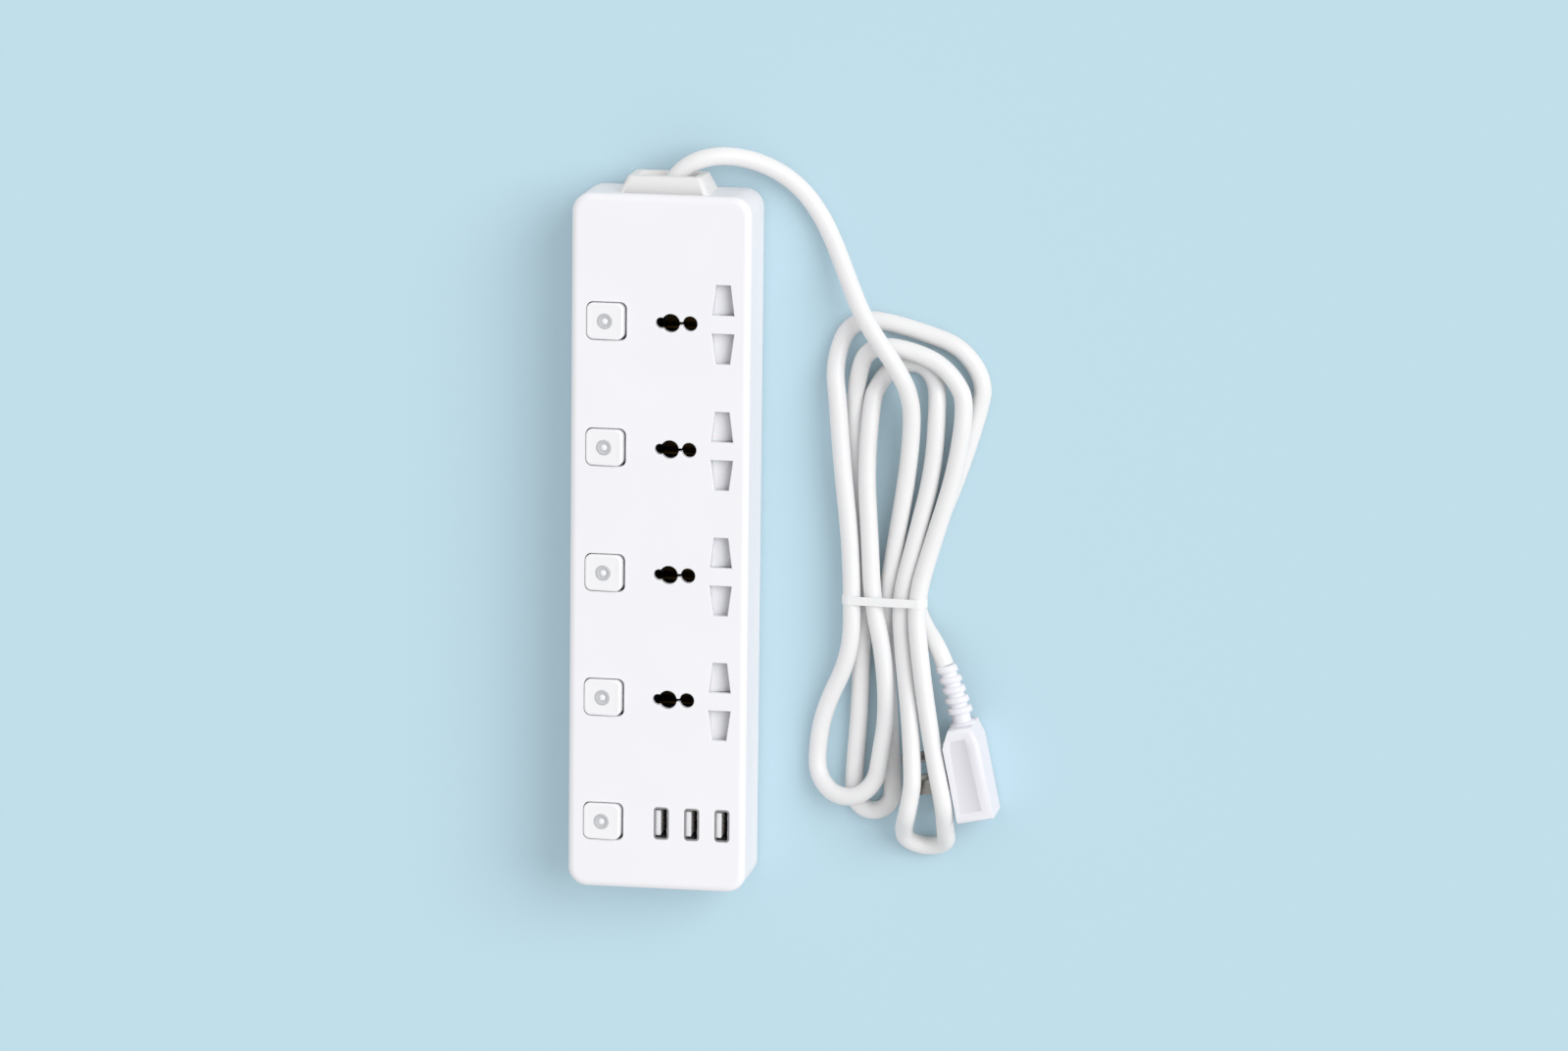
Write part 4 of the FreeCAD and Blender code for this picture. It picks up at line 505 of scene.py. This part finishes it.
def finished_piece(bm, name, body, slot, *replaced, turn=True, sharp=35):
    """Make a bmesh a piece that rides on a body and stands for some parts."""
    bmesh.ops.remove_doubles(bm, verts=bm.verts, dist=WELD)
    if turn:
        bmesh.ops.recalc_face_normals(bm, faces=bm.faces)
    mesh = bpy.data.meshes.new(name)
    bm.to_mesh(mesh)
    bm.free()
    mesh.shade_smooth()
    mesh.set_sharp_from_angle(angle=math.radians(sharp))
    mesh.materials.append(finish[slot])
    piece = bpy.data.objects.new(name, mesh)
    scene.collection.objects.link(piece)
    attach(piece, body)
    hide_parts(*replaced)
    print(f"{name}: {len(mesh.polygons)} faces")
    return piece


# %% The starting shapes: something spun, a block, and a rounded slab
def only(kind, geom):
    """The items of one kind in what an operator made."""
    return [item for item in geom if isinstance(item, kind)]


def rounded(bm, edges, edge_round, segments, clamp=False):
    """Round some edges of a bmesh by a radius in millimetres."""
    bmesh.ops.bevel(bm, geom=list(edges), offset=edge_round * MM, offset_type="OFFSET",
                    segments=segments, profile=0.5, affect="EDGES", clamp_overlap=clamp,
                    material=-1)


def turned(profile, steps=40):
    """A round shape: radii and heights in millimetres, spun about Z."""
    bm = bmesh.new()
    spots = [bm.verts.new((radius * MM, 0, height * MM)) for radius, height in profile]
    for before, after in zip(spots, spots[1:]):
        bm.edges.new((before, after))
    bmesh.ops.spin(bm, geom=bm.verts[:] + bm.edges[:], cent=(0, 0, 0), axis=(0, 0, 1),
                   angle=2 * math.pi, steps=steps, use_merge=True)
    bmesh.ops.remove_doubles(bm, verts=bm.verts, dist=WELD)
    return bm


def block(bm, low, high):
    """Add a box between two places in millimetres, and give its corner points."""
    spots = bmesh.ops.create_cube(bm, size=1)["verts"]
    bmesh.ops.scale(bm, vec=(Vector(high) - Vector(low)) * MM, verts=spots)
    bmesh.ops.translate(bm, vec=(Vector(high) + Vector(low)) / 2 * MM, verts=spots)
    bm.normal_update()
    return spots


def edges_at(spots):
    """The edges that meet at some points."""
    return list({edge for spot in spots for edge in spot.link_edges})


def upright(edge):
    """Whether an edge stands up."""
    return abs(edge.verts[0].co.z - edge.verts[1].co.z) > 0.1 * MM


def slab(bm, low, high, edge_round, segments=3, finish_number=0):
    """Add a box with all its edges rounded, in the piece's first finish or in another."""
    before = set(bm.faces)
    rounded(bm, edges_at(block(bm, low, high)), edge_round, segments)
    for face in set(bm.faces) - before:
        face.material_index = finish_number


print("a spun disc has", len(turned([(0, 0), (1, 0)]).faces), "faces")

# %% [markdown]
# ## Rockers
#
# A rocker is a moulded cap on two pivot pins, with a plunger that works the contact
# below.  Its rim is soft, its top is slightly dished for the finger, and a round seat
# takes the indicator lens.  It starts as a block with rounded uprights; the top is
# inset to make the dish, then its middle is cut away and bridged to a circle, which
# gives the seat a clean round edge that a boolean would leave ragged.

# %% The cap, in millimetres from the middle of its pivot
ROCKER_ALONG_X = 15.8
ROCKER_ALONG_Y = 15.4
ROCKER_TOP = 6.8
ROCKER_BOTTOM = -1.2
ROCKER_CORNER = 2.8
RIM_ROUND = 0.7


def top_face(bm):
    """The highest of the faces that look up, and the largest of those."""
    bm.normal_update()
    up = [face for face in bm.faces if face.normal.z > 0.9]
    return max(up, key=lambda face: (round(face.calc_center_median().z, 6), face.calc_area()))


def rocker_cap():
    """A block with round corners and a soft rim."""
    bm = bmesh.new()
    spots = block(bm, (-ROCKER_ALONG_X / 2, -ROCKER_ALONG_Y / 2, ROCKER_BOTTOM),
                  (ROCKER_ALONG_X / 2, ROCKER_ALONG_Y / 2, ROCKER_TOP))
    rounded(bm, filter(upright, edges_at(spots)), ROCKER_CORNER, 8)
    rounded(bm, top_face(bm).edges, RIM_ROUND, 4)
    return bm


print(f"a rocker is {ROCKER_ALONG_X} by {ROCKER_ALONG_Y} mm")

# %% The dish for the finger, and the round seat of the lens
RIM_WIDTH = 0.4
DISH_WIDTH = 1.0
DISH_DEPTH = 0.1
LENS_RADIUS = 3.2
SEAT_PLAY = 0.06
SEAT_DEPTH = 1.0


def dish_and_seat(bm):
    """Sink the top a little, and cut a round seat into its middle."""
    # An inset face stays the inner one, so each inset works inside the one before.
    floor = top_face(bm)
    bmesh.ops.inset_individual(bm, faces=[floor], thickness=RIM_WIDTH * MM, depth=0)
    bmesh.ops.inset_individual(bm, faces=[floor], thickness=DISH_WIDTH * MM, depth=-DISH_DEPTH * MM)
    bmesh.ops.inset_individual(bm, faces=[floor], thickness=RIM_WIDTH * MM, depth=0)
    hole = list(floor.edges)
    level = floor.calc_center_median().z
    bmesh.ops.delete(bm, geom=[floor], context="FACES_ONLY")
    seat = bmesh.ops.create_circle(bm, cap_ends=False, radius=(LENS_RADIUS + SEAT_PLAY) * MM,
                                   segments=40)["verts"]
    circle = edges_at(seat)
    # A bridge between two loops in one plane can twist, so the circle is lower while it is made.
    bmesh.ops.translate(bm, vec=(0, 0, level - SEAT_DEPTH * MM), verts=seat)
    bmesh.ops.bridge_loops(bm, edges=hole + circle)
    bmesh.ops.translate(bm, vec=(0, 0, SEAT_DEPTH * MM), verts=seat)
    sunk = bmesh.ops.extrude_edge_only(bm, edges=circle)["geom"]
    bmesh.ops.translate(bm, vec=(0, 0, -SEAT_DEPTH * MM), verts=only(bmesh.types.BMVert, sunk))
    bmesh.ops.holes_fill(bm, edges=only(bmesh.types.BMEdge, sunk), sides=0)


print(f"a lens seat is {2 * (LENS_RADIUS + SEAT_PLAY):.2f} mm across")

# %% The plunger and the pivot pins, and a rocker at each switch
PLUNGER_HALF_X = 1.5
PLUNGER_HALF_Y = 3
PLUNGER_REACH = 3.9
PLUNGER_ROOT = 0.6
PIN_RADIUS = 1.15
PIN_LENGTH = 2
PIN_PLACE = 7.8
LEAN = Matrix.Rotation(math.radians(-5), 4, "Y")


def plunger_and_pins(bm):
    """Add what works the contact, and what the rocker turns on."""
    slab(bm, (-PLUNGER_HALF_X, -PLUNGER_HALF_Y, ROCKER_BOTTOM - PLUNGER_REACH),
         (PLUNGER_HALF_X, PLUNGER_HALF_Y, ROCKER_BOTTOM + PLUNGER_ROOT), 0.5)
    for side in (-1, 1):
        place = Matrix.Translation((0, side * PIN_PLACE * MM, 0))
        bmesh.ops.create_cone(bm, cap_ends=True, segments=20, radius1=PIN_RADIUS * MM,
                              radius2=PIN_RADIUS * MM, depth=PIN_LENGTH * MM,
                              matrix=place @ Matrix.Rotation(math.pi / 2, 4, "X"))


def set_on_pivot(bm, number):
    """Lean a bmesh as a rocker leans at rest, and move it to the pivot of a switch."""
    pivot = Matrix.Translation(joint_of[f"switch_{number}"]["pos_m"])
    bmesh.ops.transform(bm, matrix=pivot @ LEAN, verts=bm.verts)


for number in SWITCHES:
    bm = rocker_cap()
    dish_and_seat(bm)
    plunger_and_pins(bm)
    set_on_pivot(bm, number)
    finished_piece(bm, f"rocker_cap_{number}", f"switch_{number}", "rocker_white",
                   f"rocker_{number}")

# %% [markdown]
# ## Indicator lenses
#
# Each lens is a small pressed disc: a bright button in the middle, a moat that looks
# grey because it is thin over the dark inside, and a rounded rim.  A spun profile is
# the whole shape, with the button in its own paler finish.

# %% Spin the lenses and set them in their rockers
LENS_PROFILE = [(0, 0.1), (0.7, 0.07), (1.1, -0.08), (1.3, -0.32), (1.7, -0.34), (2.1, -0.16),
                (2.6, 0.08), (2.95, 0.1), (3.15, -0.02), (LENS_RADIUS, -0.2), (LENS_RADIUS, -0.98),
                (0, -0.98)]
BUTTON_RADIUS = 1.2
BUTTON_DEPTH = 0.3
for number in SWITCHES:
    bm = turned([(radius, ROCKER_TOP + height) for radius, height in LENS_PROFILE])
    for face in bm.faces:
        middle = face.calc_center_median() / MM
        if middle.xy.length < BUTTON_RADIUS and middle.z > ROCKER_TOP - BUTTON_DEPTH:
            face.material_index = 1
    set_on_pivot(bm, number)
    lens = finished_piece(bm, f"lens_disc_{number}", f"switch_{number}", "lens_clear",
                          f"indicator_lens_{number}")
    lens.data.materials.append(finish["rocker_white"])

# %% [markdown]
# ## Charging ports
#
# A port is a deep-drawn steel shell around a tongue.  The shell is sheet, so it is made
# as an open rounded tube and then given its 0.35 mm of wall; spring leaves inside hold
# a plug, and an insulator in the carriers' near-black, which is painted shade, closes the
# far end.  The tongue is a thin board of pale polymer with four gold contacts on the side that faces
# the gap.

# %% Measure the ports
shell_low, shell_high = (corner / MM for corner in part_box("port_shells"))
SHELL_WIDTH = 5.7
SHELL_WALL = 0.35
SHELL_CORNER = 1.15
FLANGE = 0.25
FLANGE_DEPTH = 0.5
half_width = SHELL_WIDTH / 2
half_length = (shell_high.y - shell_low.y) / 2
first_port = shell_low.x + half_width
last_port = shell_high.x - half_width
PORTS = [first_port, (first_port + last_port) / 2, last_port]
PORT_Y = (shell_low.y + shell_high.y) / 2
RIM = shell_high.z
print("ports at X", [round(port, 2) for port in PORTS], "mm")

# %% Draw the shells of the three ports
LEAF_PLACES = (-3.2, 3.2)
LEAF_HALF = 1
LEAF_THICK = 0.3
LEAF_END = 7.5
INSULATOR_PLAY = 0.4
OVERLAP = 0.02


def open_tube(bm, low, high, corner):
    """Add an upright tube with rounded corners and no ends, between two places in millimetres."""
    spots = block(bm, low, high)
    uprights = list(filter(upright, edges_at(spots)))
    ends = {face for spot in spots for face in spot.link_faces if abs(face.normal.z) > 0.9}
    bmesh.ops.delete(bm, geom=list(ends), context="FACES_ONLY")
    rounded(bm, uprights, corner, 6)


bm = bmesh.new()
for port in PORTS:
    open_tube(bm, (port - half_width, PORT_Y - half_length, shell_low.z),
              (port + half_width, PORT_Y + half_length, RIM), SHELL_CORNER)
    open_tube(bm, (port - half_width - FLANGE, PORT_Y - half_length - FLANGE, RIM - FLANGE_DEPTH),
              (port + half_width + FLANGE, PORT_Y + half_length + FLANGE, RIM),
              SHELL_CORNER + FLANGE)
bmesh.ops.recalc_face_normals(bm, faces=bm.faces)
bmesh.ops.solidify(bm, geom=bm.faces[:], thickness=SHELL_WALL * MM)
inside = half_width - SHELL_WALL
for port in PORTS:
    for leaf in LEAF_PLACES:
        slab(bm, (port + inside - LEAF_THICK, PORT_Y + leaf - LEAF_HALF, RIM - LEAF_END),
             (port + inside + OVERLAP, PORT_Y + leaf + LEAF_HALF, RIM - 1), 0.12, 2)
    # The insulator takes the carriers' near-black, which is painted shade at the port's far end.
    slab(bm, (port - inside, PORT_Y - half_length + INSULATOR_PLAY, shell_low.z + 0.2),
         (port + inside, PORT_Y + half_length - INSULATOR_PLAY, shell_low.z + 1.4), 0.2, 2,
         finish_number=1)
shells = finished_piece(bm, "port_shells_drawn", "housing", "port_steel", "port_shells", turn=False)
shells.data.materials.append(finish["carrier_plastic"])

# %% Set the tongues with their gold contacts
tongue_low, tongue_high = (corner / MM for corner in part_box("port_tongues"))
TONGUE_THICK = 2.1
CONTACT_PLACES = (-3.5, -1.1, 1.1, 3.5)
CONTACT_HALF = 0.5
CONTACT_SUNK = 0.1
CONTACT_PROUD = 0.08
bm = bmesh.new()
for port in PORTS:
    left = port - inside
    right = left + TONGUE_THICK
    slab(bm, (left, tongue_low.y, tongue_low.z + 1), (right, *tongue_high.yz), 0.35)
    for contact in CONTACT_PLACES:
        slab(bm, (right - CONTACT_SUNK, PORT_Y + contact - CONTACT_HALF, tongue_low.z + 2),
             (right + CONTACT_PROUD, PORT_Y + contact + CONTACT_HALF, tongue_high.z - 6.5),
             0.06, 2, finish_number=1)
tongues = finished_piece(bm, "port_tongues_contacts", "housing", "port_tongue", "port_tongues")
tongues.data.materials.append(finish["contact_gold"])

# %% [markdown]
# ## Shutter springs
#
# A small compression spring pushes each shutter shut.  It is a circle, the wire's
# section, spun about the spring's axis while it moves along, which is exactly how a
# spring is wound.  It shortens when its shutter opens; here each is wound at its
# rest length.

# %% Wind the springs
WIRE_RADIUS = 0.25
COIL_RADIUS = 1.3
TURNS = 5
STEPS_A_TURN = 24
for number in SOCKETS:
    low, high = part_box(f"shutter_spring_{number}")
    middle = (low + high) / 2
    steps = TURNS * STEPS_A_TURN
    bm = bmesh.new()
    wire = bmesh.ops.create_circle(bm, cap_ends=False, radius=WIRE_RADIUS * MM, segments=8,
                                   matrix=Matrix.Rotation(math.pi / 2, 4, "X"))
    bmesh.ops.translate(bm, vec=(low.x + WIRE_RADIUS * MM, middle.y, middle.z + COIL_RADIUS * MM),
                        verts=wire["verts"])
    bmesh.ops.spin(bm, geom=bm.verts[:] + bm.edges[:], cent=middle, axis=(1, 0, 0),
                   dvec=((high.x - low.x - 2 * WIRE_RADIUS * MM) / steps, 0, 0),
                   angle=2 * math.pi * TURNS, steps=steps, use_merge=False)
    bmesh.ops.holes_fill(bm, edges=bm.edges[:], sides=0)
    spring = finished_piece(bm, f"spring_coil_{number}", "housing", "spring_steel",
                            f"shutter_spring_{number}", sharp=60)
    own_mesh(spring)

# %% [markdown]
# ## Feet
#
# Each foot is a rubber button pressed into the bottom.  It stands on a ring, because a
# hollow middle grips a smooth table better, and its edge is rounded by the mould.

# %% Spin one foot and repeat it at the four corners
FOOT_PROFILE = [(0, 0.35), (2.9, 0.35), (3.4, 0.05), (3.7, 0), (4.5, 0), (4.85, 0.12), (5, 0.5),
                (5, 2.2), (0, 2.2)]
FOOT_RADIUS = 5 * MM
foot_low, foot_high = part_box("rubber_feet")
bm = turned(FOOT_PROFILE)
foot = bm.verts[:] + bm.edges[:] + bm.faces[:]
for x in (foot_low.x + FOOT_RADIUS, foot_high.x - FOOT_RADIUS):
    for y in (foot_low.y + FOOT_RADIUS, foot_high.y - FOOT_RADIUS):
        copied = bmesh.ops.duplicate(bm, geom=foot)["geom"]
        bmesh.ops.translate(bm, vec=(x, y, 0), verts=only(bmesh.types.BMVert, copied))
bmesh.ops.delete(bm, geom=only(bmesh.types.BMVert, foot), context="VERTS")
finished_piece(bm, "feet_rubber", "housing", "foot_rubber", "rubber_feet")

# %% [markdown]
# ## Plug
#
# The plug is moulded over its pins in soft vinyl: a tapered block with soft edges, a
# shallow sunk panel to grip it by, and a ribbed relief that lets the cord bend
# without kinking.  The block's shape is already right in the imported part, so its copy
# is merged back into clean faces and the panel is inset into its top.  The relief is
# spun from a profile whose grooves have rounded lips, and the last one is wide.  Its
# tip bends a little, because the cord comes to it from the side.

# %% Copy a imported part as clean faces, and soften its edges
def merged_copy(node):
    """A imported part's mesh, with its loose triangles merged and its flats made single faces."""
    bm = bmesh.new()
    bm.from_mesh(nodes[node].data)
    bmesh.ops.remove_doubles(bm, verts=bm.verts, dist=2 * WELD)
    bmesh.ops.dissolve_limit(bm, angle_limit=math.radians(0.4), verts=bm.verts, edges=bm.edges)
    for face in bm.faces:
        face.material_index = 0
    return bm


def softened(bm, edge_round, segments=2):
    """Round the edges where a bmesh turns by more than 40 degrees."""
    bm.normal_update()
    steep = [edge for edge in bm.edges if len(edge.link_faces) == 2
             and edge.calc_face_angle(0) > math.radians(40)]
    rounded(bm, steep, edge_round, segments, clamp=True)
    return bm


print("the plug's copy starts with", len(merged_copy("plug_body").faces), "faces")

# %% Mould the plug's body with its grip panel
PANEL_INSET = 2.6
PANEL_SLOPE = 0.4
PANEL_DEPTH = 0.3
bm = merged_copy("plug_body")
panel = top_face(bm)
bmesh.ops.inset_region(bm, faces=[panel], thickness=PANEL_INSET * MM, depth=0)
bmesh.ops.inset_region(bm, faces=[panel], thickness=PANEL_SLOPE * MM, depth=-PANEL_DEPTH * MM)
# The sunk panel takes the second finish, whose greyer colour is painted shade.
panel.material_index = 1
print("the panel lies at", (panel.calc_center_median() / MM).to_tuple(1), "mm")
plug_body = finished_piece(bm, "plug_body_moulded", "housing", "plug_white", "plug_body", turn=False)
plug_body.data.materials.append(finish["grip_panel_painted_shade"])

# %% Spin the ribbed relief, and bend it a little towards the cord
PLUG_START = Vector((121.5, -50, 12.7)) * MM
PLUG_PLACE = Matrix.Translation(PLUG_START) @ Matrix.Rotation(math.radians(12), 4, "Z")
RELIEF_LENGTH = 26
RELIEF_TIP = 4.5
RELIEF_BASE = 5.6
RELIEF_BEND = 2.5
GROOVES = [(3.0, 4.9), (7.5, 9.4), (12.0, 13.9), (16.5, 18.4), (21.0, 25.0)]
GROOVE_CORE = 3.5
relief_profile = [(0, 0), (RELIEF_TIP - 0.4, 0), (RELIEF_TIP - 0.05, 0.35)]
for start, end in GROOVES:
    share = start / RELIEF_LENGTH
    lip = RELIEF_TIP + (RELIEF_BASE - RELIEF_TIP) * share
    core = GROOVE_CORE + 0.5 * share
    relief_profile += [(lip, start - 0.45), (lip - 0.2, start - 0.1), (core, start + 0.15),
                       (core, end - 0.15), (lip - 0.15, end + 0.1), (lip + 0.05, end + 0.45)]
relief_profile += [(RELIEF_BASE, RELIEF_LENGTH - 0.3), (RELIEF_BASE, RELIEF_LENGTH + 0.3),
                   (0, RELIEF_LENGTH + 0.3)]
bm = turned(relief_profile, 48)
bmesh.ops.rotate(bm, cent=(0, 0, 0), matrix=Matrix.Rotation(math.pi / 2, 3, "X"), verts=bm.verts)
for spot in bm.verts:
    free = max(0, 1 + spot.co.y / (RELIEF_LENGTH * MM))
    spot.co.x -= RELIEF_BEND * MM * free ** 2
bmesh.ops.transform(bm, matrix=PLUG_PLACE, verts=bm.verts)
plug_relief = finished_piece(bm, "plug_relief_ribbed", "housing", "plug_white", "plug_relief",
                             sharp=50)

# %% Soften the pin bridge and the pins
plug_bridge = finished_piece(softened(merged_copy("plug_bridge"), 0.3), "plug_bridge_soft",
                             "housing", "plug_bridge", "plug_bridge")
plug_blades = finished_piece(softened(merged_copy("plug_blades"), 0.35), "plug_blades_chamfered",
                             "housing", "pin_plated", "plug_blades")
plug_earth_pin = finished_piece(softened(merged_copy("plug_earth_pin"), 0.9, segments=4),
                                "plug_earth_pin_nosed", "housing", "pin_plated", "plug_earth_pin")

# %% [markdown]
# ## Collar
#
# The collar where the cord leaves the case is a solid block of soft vinyl with slanted
# sides and a wide mouth.  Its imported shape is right; what it lacks is smooth shading
# round its soft edges, so a merged copy with sharp edges only where the mould has them
# stands for it.

# %% Copy the collar with smooth rounds
finished_piece(merged_copy("cord_collar"), "cord_collar_smooth", "housing", "collar_plastic",
               "cord_collar", sharp=30)

# %% [markdown]
# ## Tie
#
# A thin vinyl band holds the folded cord at its waist.  A tight band takes the outline
# of what it holds, so it is made from the cord itself.  Looking out in any direction,
# the band touches the strand that reaches furthest that way; a ring of such touching
# points is exactly a stretched band.  The ring is then made wide and given thickness.

# %% Find where the strands cross the waist
TIE_Y = -24 * MM
PAST_THE_CASE = 70 * MM
crossings = []
for before, after in zip(cord_line, cord_line[1:]):
    if (before.y - TIE_Y) * (after.y - TIE_Y) < 0 and before.x > PAST_THE_CASE:
        crossings.append(before.lerp(after, (TIE_Y - before.y) / (after.y - before.y)))
print("the band holds", len(crossings), "strands, the lowest at",
      round(min(spot.z for spot in crossings) / MM, 2), "mm")

# %% Wrap the band round them
TIE_WIDTH = 3.6 * MM
TIE_THICK = 0.4 * MM
TIE_PLAY = 0.02 * MM
bm = bmesh.new()
ring = bmesh.ops.create_circle(bm, cap_ends=False, radius=1, segments=96)["verts"]
for spot in ring:
    outward = Vector((spot.co.x, 0, spot.co.y))
    furthest = max(crossings, key=lambda strand: strand.dot(outward))
    spot.co = furthest + outward * (CORD_RADIUS + TIE_PLAY)
    spot.co.y = TIE_Y - TIE_WIDTH / 2
wide = bmesh.ops.extrude_edge_only(bm, edges=bm.edges[:])["geom"]
bmesh.ops.translate(bm, vec=(0, TIE_WIDTH, 0), verts=only(bmesh.types.BMVert, wide))
bmesh.ops.recalc_face_normals(bm, faces=bm.faces)
bmesh.ops.solidify(bm, geom=bm.faces[:], thickness=-TIE_THICK)
cord_tie = finished_piece(bm, "cord_tie_band", "housing", "tie_white", "cord_tie")

# %% [markdown]
# ## Finishing the cord
#
# The cord is one real length of flex.  It rides with the case that it leaves, and stands
# for the three imported parts of the cord.

# %% Give the cord its finish and its body, and hide the parts it stands for
cord.data.materials.append(finish["cord_white"])
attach(cord, "housing")
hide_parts("supply_cord", "cord_hank", "cord_tail")
